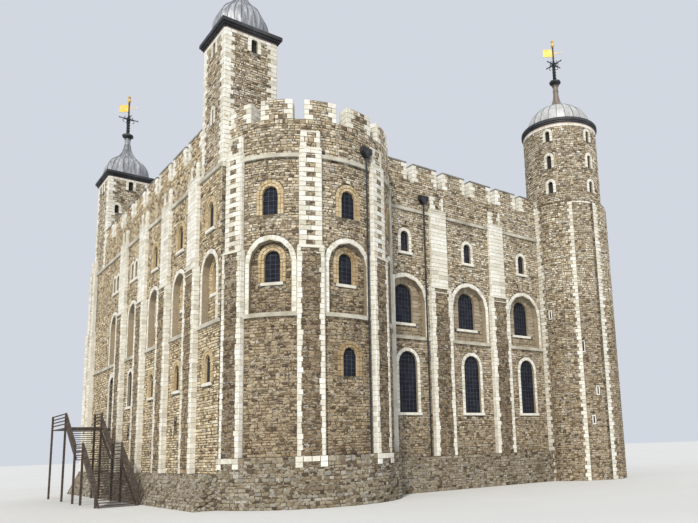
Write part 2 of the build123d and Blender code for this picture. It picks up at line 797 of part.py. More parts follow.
# Cornices in three steps
with BuildPart() as turret_cornices:
    for corner, (cx, cy, half, top, dome, neck) in turret_tops.items():
        level = top
        for overhang, height in cornice_steps:
            with BuildSketch(Plane.XY.offset(level)) as plan:
                with Locations((cx, cy)):
                    if corner == "northeast":
                        Circle(half + round_cornice_share * overhang)
                    else:
                        Rectangle(2 * (half + overhang), 2 * (half + overhang))
            extrude(plan.sketch, amount=height)
            level += height
save(turret_cornices, "turret_cornices")


def bend(x0, z0, x1, z1, turn):
    """Points on a bend that leaves one point upright and turns by an angle on its way to another."""
    sweep = math.radians(turn)
    points = []
    for step in range(cupola_chords + 1):
        a = sweep * step / cupola_chords
        inward = (1 - math.cos(a)) / (1 - math.cos(sweep))
        points.append((x0 + (x1 - x0) * inward, z0 + (z1 - z0) * math.sin(a) / math.sin(sweep)))
    return points


def cupola_section(cx, cy, base, angle, radius, dome, neck):
    """Ogee outline of a cupola and its neck, on an upright plane through its axis."""
    foot, shoulder_top, shoulder_radius, shoulder_turn, flare_top = dome[1:]
    shoulder = bend(radius, foot, shoulder_radius, shoulder_top, shoulder_turn)
    flare = bend(neck_radius, flare_top, shoulder_radius, shoulder_top, flare_turn)
    half = [(radius, 0), *shoulder, *flare[-2::-1], (neck_radius, neck)]
    a = math.radians(angle)
    plane = Plane(origin=(cx, cy, base), x_dir=(math.cos(a), math.sin(a), 0), z_dir=(math.sin(a), -math.cos(a), 0))
    with BuildSketch(plane) as section:
        Polygon(*half, *[(-x, z) for x, z in reversed(half)], align=None)
    return section.sketch


# Ogee cupolas: the same section run through in each direction, and what is common to all
cupolas = []
for corner, (cx, cy, half, top, dome, neck) in turret_tops.items():
    sides = round_dome_sides if corner == "northeast" else square_dome_sides
    radius = half - dome[0]
    with BuildPart() as cupola:
        for turn in range(sides // 2):
            mode = Mode.INTERSECT if turn else Mode.ADD
            section = cupola_section(cx, cy, top + cornice_height, 360 / sides * turn, radius, dome, neck)
            extrude(section, amount=2 * radius, both=True, mode=mode)
    cupolas.append(cupola.part)

with BuildPart() as turret_domes:
    for cupola_solid in cupolas:
        add(cupola_solid)
save(turret_domes, "turret_domes")

# Finials: collar, flattened ball, and the square spindle and cardinal arms of each vane
neck_tops = {
    corner: (cx, cy, top + cornice_height + neck) for corner, (cx, cy, half, top, dome, neck) in turret_tops.items()
}
ball_sections = (
    (collar_height, neck_radius),
    *[(collar_height + ball_height * share, ball_radius) for share in ball_shoulders],
    (collar_height + ball_height, spindle_side),
)
with BuildPart() as vane_spindles:
    for cx, cy, neck in neck_tops.values():
        with BuildSketch(Plane.XY.offset(neck)) as collar:
            with Locations((cx, cy)):
                RegularPolygon(collar_radius, finial_sides)
        extrude(collar.sketch, amount=collar_height)
        for (z0, radius0), (z1, radius1) in zip(ball_sections, ball_sections[1:]):
            with BuildSketch(Plane.XY.offset(neck + z0)) as lower:
                with Locations((cx, cy)):
                    RegularPolygon(radius0, finial_sides)
            with BuildSketch(Plane.XY.offset(neck + z1)) as upper:
                with Locations((cx, cy)):
                    RegularPolygon(radius1, finial_sides)
            loft([lower.sketch, upper.sketch], ruled=True)
        ball_middle = neck + collar_height + ball_height / 2
        sleeve_foot = ball_middle + arm_height + vane_sleeve_foot
        bar_half = spindle_side / 2
        slab(cx - bar_half, cx + bar_half, cy - bar_half, cy + bar_half, ball_middle, sleeve_foot - vane_seat)
        with Locations((cx, cy, ball_middle)):
            Cylinder(spindle_radius, spindle_above_ball, align=(Align.CENTER, Align.CENTER, Align.MIN))
        with Locations((cx, cy, ball_middle + arm_height)):
            Box(2 * arm_reach, arm_side, arm_side)
            Box(arm_side, 2 * arm_reach, arm_side)
save(vane_spindles, "vane_spindles")

# Vanes: a sleeve on the spindle with a plain flag on one side and a pointer on the other
heading = (math.cos(math.radians(vane_heading)), math.sin(math.radians(vane_heading)), 0)
across = (math.sin(math.radians(vane_heading)), -math.cos(math.radians(vane_heading)), 0)
for corner, (cx, cy, neck) in neck_tops.items():
    ball_middle = neck + collar_height + ball_height / 2
    foot = ball_middle + arm_height + vane_sleeve_foot
    seat = ball_middle + spindle_above_ball + vane_seat
    with BuildPart() as vane:
        with BuildSketch(Plane.XY.offset(foot)) as sleeve:
            with Locations((cx, cy)):
                RegularPolygon(vane_sleeve_radius, finial_sides)
        extrude(sleeve.sketch, amount=seat + vane_cap - foot)
        with BuildSketch(Plane.XY.offset(seat + vane_cap)) as orb:
            with Locations((cx, cy)):
                RegularPolygon(vane_orb_radius, finial_sides)
        extrude(orb.sketch, amount=vane_cap)
        with BuildSketch(Plane(origin=(cx, cy, seat - vane_flag_drop), x_dir=heading, z_dir=across)) as flag:
            Rectangle(vane_flag_length, vane_flag_height, align=(Align.MAX, Align.MAX))
            with Locations((0, -vane_flag_height / 2)):
                Rectangle(vane_pointer_length, vane_pointer_height, align=(Align.MIN, Align.CENTER))
        extrude(flag.sketch, amount=vane_plate / 2, both=True)
        with Locations((cx, cy, foot)):
            bore = spindle_radius + vane_clearance
            Cylinder(bore, seat - foot, align=(Align.CENTER, Align.CENTER, Align.MIN), mode=Mode.SUBTRACT)
    save(vane, f"{corner}_vane")

# Rainwater hoppers under the parapet, and their pipes down to the plinths
pipe_out = string_projection + glass_clearance + pipe_radius
pipe_places = (
    (east_face, east_centres[0] + east_pipe_past_bay, plinth_top),
    (radial_plane(apse_pipe_angle, apse_radius), 0.0, apse_plinth_top),
)
with BuildPart() as rainwater_pipes:
    for face, at, foot in pipe_places:
        axis = face.from_local_coords((at, 0, pipe_out))
        with BuildSketch(Plane(origin=(axis.X, axis.Y, foot), z_dir=(0, 0, 1))) as pipe:
            RegularPolygon(pipe_radius, finial_sides)
        extrude(pipe.sketch, amount=hopper_top - hopper_height - foot)
        with BuildSketch(face.offset(dressing_proud)) as hopper:
            with BuildLine():
                Polyline(
                    (at - pipe_radius, hopper_top - hopper_height),
                    (at + pipe_radius, hopper_top - hopper_height),
                    (at + hopper_half, hopper_top - hopper_height / 2),
                    (at + hopper_half, hopper_top),
                    (at - hopper_half, hopper_top),
                    (at - hopper_half, hopper_top - hopper_height / 2),
                    close=True,
                )
            make_face()
        extrude(hopper.sketch, amount=hopper_depth)
save(rainwater_pipes, "rainwater_pipes")

# Timber stair up to the doorway, rising westward along the south front
stair_rise = doorway[1] / (lower_risers + upper_risers)
stair_inner = y_south - stair_gap
stair_outer = stair_inner - stair_width
top_west = door_west - top_landing_west
top_east = top_west + top_landing_length
upper_foot = top_east + upper_risers * stair_going
middle_east = upper_foot + middle_landing_length
lower_foot = middle_east + lower_risers * stair_going
middle_level = lower_risers * stair_rise
flights = ((lower_foot, 0, lower_risers), (upper_foot, middle_level, upper_risers))
with BuildPart() as stair_treads:
    for foot_x, foot_z, count in flights:
        for step in range(1, count):
            with Locations((foot_x - step * stair_going, stair_inner - string_width, foot_z + step * stair_rise)):
                Box(
                    stair_going + tread_overlap,
                    stair_width - 2 * string_width,
                    tread_thickness,
                    align=(Align.MIN, Align.MAX, Align.MAX),
                )
save(stair_treads, "stair_treads")

with BuildPart() as stair_strings:
    for foot_x, foot_z, count in flights:
        head_x = foot_x - count * stair_going
        head_z = foot_z + count * stair_rise
        for y in (stair_inner, stair_outer + string_width):
            with BuildSketch(Plane.XZ.offset(-y)) as side:
                with BuildLine():
                    Polyline(
                        (foot_x + stair_going / 2, foot_z),
                        (foot_x, foot_z + stair_rise),
                        (head_x, head_z + string_above),
                        (head_x, head_z - string_depth),
                        (foot_x - stair_going, foot_z),
                        close=True,
                    )
                make_face()
            extrude(side.sketch, amount=string_width)
save(stair_strings, "stair_strings")

bridge_east = door_east + bridge_past_door
with BuildPart() as stair_landings:
    slab(upper_foot, middle_east, stair_outer, stair_inner, middle_level - deck_thickness, middle_level)
    slab(top_west, top_east, stair_outer, stair_inner, doorway[1] - deck_thickness, doorway[1])
    slab(top_west, bridge_east, stair_inner, y_south, doorway[1] - deck_thickness, doorway[1])
save(stair_landings, "stair_landings")

# Posts on both sides of the stair, as places along it with the level of the deck there
shared_posts = [
    (top_east - post_inset, doorway[1]),
    (upper_foot + post_inset, middle_level),
    (middle_east - post_inset, middle_level),
    (lower_foot - foot_post_inset, foot_post_level),
]
inner_posts = [(bridge_east + post_inset, doorway[1]), *shared_posts]
outer_posts = [(top_west + post_inset, doorway[1]), *shared_posts]
with BuildPart() as stair_posts:
    for y, row in ((stair_inner + post_side / 2, inner_posts), (stair_outer - post_side / 2, outer_posts)):
        for x, level in row:
            with Locations((x, y, 0)):
                Box(post_side, post_side, level + rail_height, align=(Align.CENTER, Align.CENTER, Align.MIN))
save(stair_posts, "stair_posts")

with BuildPart() as stair_rails:
    for y, row in ((stair_inner, inner_posts), (stair_outer - rail_thickness, outer_posts)):
        for (x0, level0), (x1, level1) in zip(row, row[1:]):
            slope = (level1 - level0) / (x1 - x0)
            reach = post_side / 2
            for height in rail_heights:
                z0 = level0 + height + slope * reach
                z1 = level1 + height - slope * reach
                with BuildSketch(Plane.XZ.offset(-y)) as rail:
                    with BuildLine():
                        Polyline(
                            (x0 + reach, z0),
                            (x1 - reach, z1),
                            (x1 - reach, z1 - rail_depth),
                            (x0 + reach, z0 - rail_depth),
                            close=True,
                        )
                    make_face()
                extrude(rail.sketch, amount=-rail_thickness)
save(stair_rails, "stair_rails")
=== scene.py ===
import math
import random

import bpy
import numpy as np
from mathutils import Matrix, Vector


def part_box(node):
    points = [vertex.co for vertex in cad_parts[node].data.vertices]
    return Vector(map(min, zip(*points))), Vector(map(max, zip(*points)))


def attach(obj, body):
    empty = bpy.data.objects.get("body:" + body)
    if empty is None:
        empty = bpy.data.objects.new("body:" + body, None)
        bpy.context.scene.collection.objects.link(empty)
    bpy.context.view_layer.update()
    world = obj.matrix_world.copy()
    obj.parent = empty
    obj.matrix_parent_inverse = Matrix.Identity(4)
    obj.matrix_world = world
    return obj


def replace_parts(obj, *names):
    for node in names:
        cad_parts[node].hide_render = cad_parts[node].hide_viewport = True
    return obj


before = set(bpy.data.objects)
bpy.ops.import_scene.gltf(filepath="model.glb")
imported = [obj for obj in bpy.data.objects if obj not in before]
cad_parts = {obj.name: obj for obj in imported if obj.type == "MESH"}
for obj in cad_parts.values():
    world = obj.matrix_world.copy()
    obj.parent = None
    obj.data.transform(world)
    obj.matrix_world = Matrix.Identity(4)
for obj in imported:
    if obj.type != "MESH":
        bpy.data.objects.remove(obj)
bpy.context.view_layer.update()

# The keep stands at one tenth of its real size, so 0.1 here is one metre of the real keep.

# Outer faces, read from the frame
x_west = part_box("west_wall")[0].x
x_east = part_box("south_wall")[1].x
y_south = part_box("south_wall")[0].y
y_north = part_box("north_wall")[1].y
wall_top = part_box("south_wall")[1].z
merlon_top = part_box("south_parapet")[1].z

# Parapet
sill_level = 2.310
parapet_thickness = 0.090
merlon_width = 0.255
crenel_width = 0.062

# Pilasters: how far each stage stands out, and its top and width
pier_outs = (0.038, 0.028, 0.018)
pier_tops = (1.505, 2.120, 2.230)
pier_widths = (0.190, 0.150, 0.125)
apse_pier_widths = (0.153, 0.130, 0.115)
weathering = 0.010

# Apse
apse_radius = 0.585
apse_inset = 0.130
apse_x = x_east - apse_inset
apse_y = y_south + 0.620
apse_pitch = 47.0
apse_piers = [-71.0 + apse_pitch * i for i in range(4)]
apse_bays = [-47.5 + apse_pitch * i for i in range(3)]
apse_end_angle = 77.0
apse_plinth_top = 0.285
apse_chord = math.sqrt(apse_radius ** 2 - apse_inset ** 2)
pier_chord = math.sqrt((apse_radius + pier_outs[0]) ** 2 - apse_inset ** 2)


def between(places):
    """Places halfway between neighbours."""
    return [(a + b) / 2 for a, b in zip(places, places[1:])]


# Bays and piers
south_first_bay = 0.175
south_first_pier = 0.440
south_pitch = 0.555
east_first_bay = 0.156
east_pitch = 0.620
north_first_bay = 0.780
north_pitch = 0.570
west_pitch = 0.510
west_middle = -(y_south + y_north) / 2
south_bays = [x_east - south_first_bay - south_pitch * i for i in range(5)]
south_piers = [x_east - south_first_pier - south_pitch * i for i in range(4)]
east_bays = [apse_y + pier_chord + east_first_bay + east_pitch * i for i in range(3)]
north_bays = [-x_east + north_first_bay + north_pitch * i for i in range(4)]
west_bays = [west_middle + west_pitch * (i - 2) for i in range(5)]

# Foot of the walls
plinth_top = 0.245
plinth_out = 0.050
batter_top = 0.200
batter_reach = 0.130

# Turrets: centre and half width of each square one, then the round one
turret_top = 3.010
southeast_half = 0.1775
west_half = 0.200
square_turrets = {
    "southeast": (x_east - southeast_half, y_south + southeast_half, southeast_half),
    "southwest": (x_west + west_half, y_south + west_half, west_half),
    "northwest": (x_west + west_half, y_north - west_half, west_half),
}
outer_sides = {"southeast": (-90, 0), "southwest": (-90, 180), "northwest": (90, 180)}
round_out = 0.040
round_x = x_east + round_out
round_y = y_north - 0.320
drum_radius = 0.330
foot_radius = 0.345
strip_radius = 0.365
drum_ledge = 2.380
drum_top = 3.120
cornice_height = 0.050

# Windows: width, sill and head, and how many lights wide and high their glazing is
gallery = (0.072, 1.740, 1.900)
south_gallery = (0.096, 1.705, 1.885)
twin_light = (0.060, 1.750, 1.890)
east_upper = (0.170, 1.212, 1.505)
south_upper = (0.100, 1.300, 1.497)
east_lower = (0.163, 0.558, 1.000)
south_lower = (0.095, 0.738, 0.912)
tall_lower = (0.110, 0.710, 0.990)
lattices = {
    gallery: (3, 6), south_gallery: (3, 6), twin_light: (3, 6), east_upper: (6, 9),
    south_upper: (3, 7), east_lower: (5, 14), south_lower: (3, 7), tall_lower: (4, 9),
}
twin_offset = 0.055
doorway_dressing = (0.240, 0.550, 1.045)
south_slit = (0.070, 0.460, 0.560)
turret_top_light = (0.042, 2.895, 2.990)
turret_low_light = (0.038, 2.645, 2.725)
turret_slit = (0.022, 2.410, 2.510)
round_lights = ((0.038, 2.962, 3.060), (0.040, 2.710, 2.830), (0.042, 2.480, 2.585))
round_light_angles = (-69.0, -3.0, 63.0)
recess_sill = 1.110
south_recess = (0.232, recess_sill, 1.545)
east_recess = (0.342, recess_sill, 1.550)
apse_recess = (0.262, recess_sill, 1.550)
recess_foot = recess_sill - 0.024
recess_depth = 0.040
ring_width = 0.028
glass_depth = 0.015
leaf_depth = 0.016
strings = ((1.086, 1.110), (2.061, 2.085))
small_arch_width = 0.100

rng = random.Random(7)


# Surfaces that stones are laid on: places run along the wall, up it and out of it

class Flat:
    """An upright plane face."""

    def __init__(self, origin, along, out):
        self.origin = np.array(origin, float)
        self.along = np.array((*along, 0.0), float)
        self.out = np.array((*out, 0.0), float)

    def at(self, u, v, w):
        points = self.origin + u[..., None] * self.along + w[..., None] * self.out
        points[..., 2] += v
        return points

    def moved(self, out):
        return Flat(self.origin + self.out * out, self.along[:2], self.out[:2])


def radial_face(cx, cy, angle, distance):
    """Upright plane square to a radius, at a distance from an upright axis."""
    a = math.radians(angle)
    c, s = math.cos(a), math.sin(a)
    return Flat((cx + distance * c, cy + distance * s, 0), (-s, c), (c, s))


class Drum:
    """An upright cylinder, its places along it measured as arc from due east."""

    def __init__(self, cx, cy, radius):
        self.cx, self.cy, self.radius = cx, cy, radius

    def at(self, u, v, w):
        angle = u / self.radius
        r = self.radius + w
        return np.stack((self.cx + r * np.cos(angle), self.cy + r * np.sin(angle), v), axis=-1)

    def moved(self, out):
        return Drum(self.cx, self.cy, self.radius + out)

    def arc(self, degrees):
        return math.radians(degrees) * self.radius

    def flat(self, u, inset=0.0):
        """The plane that touches it at a place, or lies a little further in."""
        return radial_face(self.cx, self.cy, math.degrees(u / self.radius), self.radius - inset)


class Slope:
    """A battered face, leaning in as it rises."""

    def __init__(self, base, lean):
        self.base, self.lean = base, lean

    def at(self, u, v, w):
        return self.base.at(u, v, w) - (self.lean * v)[..., None] * self.base.out


south_face = Flat((0, y_south, 0), (1, 0), (0, -1))
east_face = Flat((x_east, 0, 0), (0, 1), (1, 0))
north_face = Flat((0, y_north, 0), (-1, 0), (0, 1))
west_face = Flat((x_west, 0, 0), (0, -1), (-1, 0))
apse_face = Drum(apse_x, apse_y, apse_radius)
drum_face = Drum(round_x, round_y, drum_radius)
foot_face = Drum(round_x, round_y, foot_radius)


# Materials

class Shading:
    """The nodes of one material, on coordinates that are those of the keep on every piece."""

    def __init__(self, name):
        self.material = bpy.data.materials.new(name)
        self.material.use_nodes = True
        self.tree = self.material.node_tree

    def fill(self, node, inputs):
        for socket, value in inputs.items():
            if isinstance(value, bpy.types.NodeSocket):
                self.tree.links.new(value, node.inputs[socket])
            else:
                node.inputs[socket].default_value = value

    def add(self, kind, inputs, **settings):
        node = self.tree.nodes.new("ShaderNode" + kind)
        for name, value in settings.items():
            setattr(node, name, value)
        self.fill(node, inputs)
        return node.outputs

    def place(self, scale=(1, 1, 1)):
        source = self.add("TexCoord", {})["Object"]
        return self.add("Mapping", {"Scale": scale, "Vector": source})["Vector"]

    def noise(self, where, scale, detail=4.0):
        inputs = {"Scale": scale, "Detail": detail, "Roughness": 0.6, "Vector": where}
        return self.add("TexNoise", inputs)["Fac"]

    def ramp(self, source, stops):
        node = self.tree.nodes.new("ShaderNodeValToRGB")
        elements = node.color_ramp.elements
        while len(elements) < len(stops):
            elements.new(0.5)
        for element, (position, colour) in zip(elements, stops):
            element.position = position
            element.color = (*colour, 1.0)
        self.fill(node, {"Fac": source})
        return node.outputs["Color"]

    def mix(self, kind, factor, a, b):
        inputs = {"Factor": factor}
        for socket, value in (("A", a), ("B", b)):
            inputs[socket] = (*value, 1.0) if isinstance(value, tuple) else value
        return self.add("Mix", inputs, data_type="RGBA", blend_type=kind)["Result"]

    def finish(self, base, roughness, gloss, height, relief, grain, metallic=0.0):
        """Colour, shine and relief of the whole surface."""
        relief_inputs = {"Strength": relief, "Distance": grain, "Height": height}
        self.fill(self.tree.nodes["Principled BSDF"], {
            "Base Color": base, "Roughness": roughness, "Specular IOR Level": gloss, "Metallic": metallic,
            "Normal": self.add("Bump", relief_inputs)["Normal"],
        })
        return self.material


black, plain_white = (0, 0, 0), (1, 1, 1)


def stone_material(name, tones, stain=0.35, stain_colour=(0.30, 0.24, 0.18), soiled=False):
    """Stones that each have their own tone, stained by weather over them all."""
    shading = Shading(name)
    where = shading.place()
    base = shading.ramp(shading.add("Attribute", {}, attribute_name="tone")["Fac"], tones)
    mottled = shading.ramp(shading.noise(where, 60.0), ((0.3, (0.72, 0.70, 0.66)), (0.7, (1.1, 1.1, 1.1))))
    base = shading.mix("MULTIPLY", 0.75, base, mottled)
    streaks = shading.noise(shading.place((6.0, 6.0, 0.9)), 1.6, 6.0)
    patches = shading.ramp(streaks, ((0.42, black), (0.68, plain_white)))
    faded = shading.mix("MULTIPLY", 1.0, patches, (stain, stain, stain))
    base = shading.mix("MULTIPLY", faded, base, stain_colour)
    if soiled:
        # Darker towards the foot, on a ragged line
        height = shading.add("SeparateXYZ", {"Vector": where})["Z"]
        drift = {0: shading.noise(where, 2.5), 1: 0.9, 2: height}
        ragged = shading.add("Math", drift, operation="MULTIPLY_ADD")["Value"]
        share = shading.add("Math", {0: ragged, 1: 0.3}, operation="MULTIPLY")["Value"]
        stops = ((0.16, (0.66, 0.61, 0.56)), (0.46, (0.74, 0.70, 0.66)), (0.62, plain_white))
        soot = shading.ramp(share, stops)
        base = shading.mix("MULTIPLY", 1.0, base, soot)
    return shading.finish(base, 0.9, 0.2, shading.noise(where, 180.0), 0.5, 0.0012)


def rubble_ground(name, tones, mortar, size=34.0):
    """Rubble walling in the surface itself, for the faces behind and between the laid stones."""
    shading = Shading(name)
    where = shading.place((1.0, 1.0, 1.7))
    inputs = {"Scale": size, "Vector": where}
    cells = shading.add("TexVoronoi", inputs)["Color"]
    edges = shading.add("TexVoronoi", inputs, feature="DISTANCE_TO_EDGE")["Distance"]
    base = shading.ramp(shading.add("SeparateColor", {"Color": cells})["Red"], tones)
    gap = shading.ramp(edges, ((0.03, black), (0.10, plain_white)))
    base = shading.mix("MIX", gap, mortar, base)
    stain = shading.ramp(shading.noise(where, 2.0), ((0.35, (0.7, 0.66, 0.6)), (0.65, plain_white)))
    base = shading.mix("MULTIPLY", 0.8, base, stain)
    return shading.finish(base, 0.95, 0.15, gap, 0.6, 0.002)


def worn_material(name, colours, scale, metallic=0.0, roughness=0.6, stretch=(1, 1, 1), gloss=0.5):
    """A surface of one stuff whose colour drifts between a few shades."""
    shading = Shading(name)
    where = shading.place(stretch)
    stops = [(0.3 + 0.4 * i / (len(colours) - 1), colour) for i, colour in enumerate(colours)]
    base = shading.ramp(shading.noise(where, scale, 6.0), stops)
    return shading.finish(base, roughness, gloss, shading.noise(where, scale * 6), 0.3, 0.001, metallic)


rubble_tones = (
    (0.00, (0.13, 0.10, 0.07)), (0.14, (0.32, 0.25, 0.17)), (0.34, (0.52, 0.43, 0.295)),
    (0.58, (0.65, 0.56, 0.41)), (0.78, (0.80, 0.73, 0.585)), (0.88, (0.48, 0.45, 0.40)),
    (1.00, (0.92, 0.88, 0.78)),
)
dark_tones = tuple((position, tuple(0.5 * c for c in colour)) for position, colour in rubble_tones)
sandy_tones = tuple((position, (1.06 * r, 1.01 * g, 0.90 * b)) for position, (r, g, b) in rubble_tones)
white_tones = (
    (0.0, (0.60, 0.57, 0.48)), (0.3, (0.74, 0.71, 0.62)),
    (0.7, (0.82, 0.80, 0.72)), (1.0, (0.88, 0.87, 0.82)),
)
ochre_tones = ((0.0, (0.46, 0.35, 0.19)), (0.5, (0.57, 0.45, 0.27)), (1.0, (0.66, 0.56, 0.38)))
brown_tones = ((0.0, (0.28, 0.225, 0.155)), (0.5, (0.36, 0.30, 0.215)), (1.0, (0.45, 0.385, 0.295)))

mat = {
    "rubble": stone_material("rubble_stones", rubble_tones, soiled=True),
    "sandy": stone_material("sandy_rubble_stones", sandy_tones, 0.25),
    "foot": stone_material("foot_stones", dark_tones, 0.5),
    "white": stone_material("white_dressings", white_tones, 0.30, (0.62, 0.58, 0.50)),
    "ochre": stone_material("ochre_dressings", ochre_tones, 0.25, (0.55, 0.45, 0.33)),
    "dull_ochre": stone_material("soiled_ochre_dressings", ochre_tones, 0.6, (0.50, 0.38, 0.27), True),
    "brown": stone_material("brown_lining", brown_tones, 0.3, (0.5, 0.45, 0.4)),
    "ground": rubble_ground("rubble_ground", dark_tones, (0.075, 0.06, 0.045)),
}
# Name, shades, their scale, how metallic and how rough, and any stretch and gloss
worn_finishes = {
    "dressed": (
        "dressed_ground", ((0.50, 0.47, 0.39), (0.66, 0.63, 0.55), (0.76, 0.74, 0.67)),
        9.0, 0.0, 0.9,
    ),
    # Dark partly as the copings' own colour and partly as painted shade for their shadowed edges
    "coping": (
        "dark_coping", ((0.10, 0.09, 0.08), (0.20, 0.185, 0.16), (0.34, 0.32, 0.28)),
        14.0, 0.0, 0.9,
    ),
    "lead": (
        "lead", ((0.13, 0.14, 0.15), (0.30, 0.31, 0.33), (0.60, 0.61, 0.63)),
        7.0, 0.3, 0.42, (6, 6, 1),
    ),
    "roof_lead": (
        "roof_lead", ((0.15, 0.155, 0.165), (0.25, 0.255, 0.27), (0.36, 0.365, 0.38)),
        5.0, 0.0, 0.75,
    ),
    "seam": ("lead_seams", ((0.10, 0.105, 0.115), (0.20, 0.21, 0.23)), 12.0, 0.3, 0.45),
    "soffit": ("cornice_soffit", ((0.34, 0.20, 0.17), (0.48, 0.33, 0.29)), 12.0, 0.0, 0.8),
    "pale_lead": (
        "pale_lead", ((0.36, 0.36, 0.36), (0.50, 0.50, 0.49), (0.62, 0.62, 0.60)),
        6.0, 0.2, 0.5, (6, 6, 1),
    ),
    "dark_lead": (
        "dark_moulding", ((0.012, 0.012, 0.014), (0.03, 0.03, 0.034), (0.07, 0.07, 0.075)),
        9.0, 0.0, 0.6,
    ),
    "glass": (
        "leaded_glass", ((0.008, 0.009, 0.014), (0.014, 0.016, 0.024), (0.030, 0.035, 0.050)),
        22.0, 0.0, 0.3, (1, 1, 1), 0.12,
    ),
    "bars": ("glazing_bars", ((0.045, 0.048, 0.056), (0.08, 0.085, 0.10)), 30.0, 0.1, 0.6),
    # Near black partly as the stair's dark wood and partly as painted shade for the stair in shadow
    "timber": (
        "weathered_timber", ((0.030, 0.020, 0.015), (0.065, 0.045, 0.034), (0.11, 0.085, 0.07)),
        8.0, 0.0, 0.8, (1, 8, 8),
    ),
    "boards": ("floor_boards", ((0.13, 0.085, 0.05), (0.24, 0.17, 0.10)), 6.0, 0.0, 0.7, (1, 12, 1)),
    "gold": ("gilding", ((0.60, 0.34, 0.05), (0.74, 0.47, 0.10), (0.80, 0.57, 0.18)), 30.0, 0.35, 0.5),
    # Near black: the leaves of the turret lights, and painted shade in the holes and slits
    "leaf": (
        "dark_leaves", ((0.006, 0.005, 0.005), (0.014, 0.011, 0.010), (0.028, 0.022, 0.018)),
        12.0, 0.0, 0.8,
    ),
    # Grey-brown partly from stain and partly as painted shade for the strings in shadow
    "string": ("string_stone", ((0.30, 0.27, 0.21), (0.46, 0.43, 0.35), (0.62, 0.60, 0.52)), 9.0, 0.0, 0.9),
    "iron": (
        "wrought_iron", ((0.015, 0.015, 0.018), (0.04, 0.04, 0.045), (0.09, 0.085, 0.08)),
        30.0, 0.5, 0.55,
    ),
    "neck": (
        "brown_lead", ((0.10, 0.075, 0.06), (0.19, 0.15, 0.12), (0.30, 0.25, 0.21)),
        9.0, 0.2, 0.5, (6, 6, 1),
    ),
    "pale_iron": ("pale_painted_iron", ((0.45, 0.47, 0.50), (0.65, 0.67, 0.70)), 30.0, 0.0, 0.5),
    "pale_floor": ("pale_floor", ((0.62, 0.62, 0.60), (0.66, 0.66, 0.645)), 0.7, 0.0, 0.9),
}
mat.update({finish: worn_material(*values) for finish, values in worn_finishes.items()})

finish_of_node = {
    "main_roof": "roof_lead", "apse_roof": "roof_lead",
    "turret_domes": "lead", "turret_cornices": "dark_lead",
    "window_glass": "glass", "merlon_copings": "coping", "string_courses": "string",
    "vane_spindles": "iron", "rainwater_pipes": "iron",
    "entrance_floor": "boards", "upper_floor": "boards", "gallery_floor": "boards",
}
for node_name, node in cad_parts.items():
    finish = finish_of_node.get(node_name, "ground")
    if node_name.endswith("_vane"):
        finish = "gold"
    elif node_name.startswith("stair_"):
        finish = "timber"
    elif node_name.endswith(("_dressings", "_pilasters")):
        finish = "dressed"
    node.data.materials.clear()
    node.data.materials.append(mat[finish])


# Mesh building

def linked(name, data):
    """A new object in the scene."""
    made = bpy.data.objects.new(name, data)
    bpy.context.scene.collection.objects.link(made)
    return made


def make_mesh(name, vertices, faces, finish, body="keep", tones=None):
    """A mesh piece from points and quads, riding on a body."""
    mesh = bpy.data.meshes.new(name)
    mesh.from_pydata([tuple(point) for point in vertices], [], [tuple(face) for face in faces])
    if tones is not None:
        attribute = mesh.attributes.new("tone", "FLOAT", "POINT")
        attribute.data.foreach_set("value", np.asarray(tones, np.float32))
    mesh.materials.append(mat[finish])
    piece = linked(name, mesh)
    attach(piece, body)
    return piece


class Stones:
    """Raised blocks gathered into one piece, each with its own tone, and open at the back."""

    quads = ((4, 5, 6, 7), (0, 1, 5, 4), (1, 2, 6, 5), (2, 3, 7, 6), (3, 0, 4, 7))

    def __init__(self, name, finish, body="keep"):
        self.name, self.finish, self.body = name, finish, body
        self.points, self.tones = [], []

    def block(self, face, corners, lift, bevel, tone, back=0.0):
        """One block over four corners, given anticlockwise as places along and up the face."""
        u, v = np.array(corners).T
        u_mid, v_mid = u.mean(), v.mean()
        u_in = u_mid + (u - u_mid) * (1 - 2 * bevel / max(1e-6, u.max() - u.min()))
        v_in = v_mid + (v - v_mid) * (1 - 2 * bevel / max(1e-6, v.max() - v.min()))
        w_low, w_high = np.full(4, back), lift * np.array([rng.uniform(0.9, 1.1) for corner in corners])
        self.points.append(np.concatenate((face.at(u, v, w_low), face.at(u_in, v_in, w_high))))
        self.tones.append(tone)

    def finish_piece(self):
        count = len(self.points)
        if not count:
            return None
        faces = (np.arange(count)[:, None, None] * 8 + np.array(self.quads)).reshape(-1, 4)
        tones = np.repeat(self.tones, 8)
        return make_mesh(self.name, np.concatenate(self.points), faces, self.finish, self.body, tones)


class Blocks(Stones):
    """Closed boxes gathered into one piece."""

    quads = ((3, 2, 1, 0), *Stones.quads)

    def box(self, face, u0, u1, v0, v1, w0, w1):
        u, v = np.array(rectangle(u0, u1, v0, v1)).T
        self.points.append(np.concatenate([face.at(u, v, np.full(4, w)) for w in (w0, w1)]))
        self.tones.append(0.5)


def rectangle(u0, u1, v0, v1):
    return ((u0, v0), (u1, v0), (u1, v1), (u0, v1))


def parts(low, high, count):
    """A stretch cut into even parts."""
    edges = [low + (high - low) * i / count for i in range(count + 1)]
    return list(zip(edges, edges[1:]))


# Rubble walling

course_heights = (0.013, 0.023)
stone_lengths = (0.013, 0.040)
joint = 0.0019
rubble_lift = (0.0010, 0.0042)
rubble_bevel = 0.0026
foot_wear = 0.55
least_height = 0.010
least_length = 0.012
split_height = 0.0195
split_length = 0.018
split_overlap = 0.0008
split_share = 0.55
split_middle = (0.4, 0.6)
least_course = 0.004
least_stone = 0.005
outline_slack = 0.003
stone_jog = 0.0022
stone_wobble = (-0.0012, 0.0018)


def arch_half(shape, v):
    """Half the width of a round-headed outline at a height, or none above its crown."""
    at, width, sill, head = shape
    rise = max(0.0, v - (head - width / 2))
    return math.sqrt(max(0.0, (width / 2) ** 2 - rise ** 2))


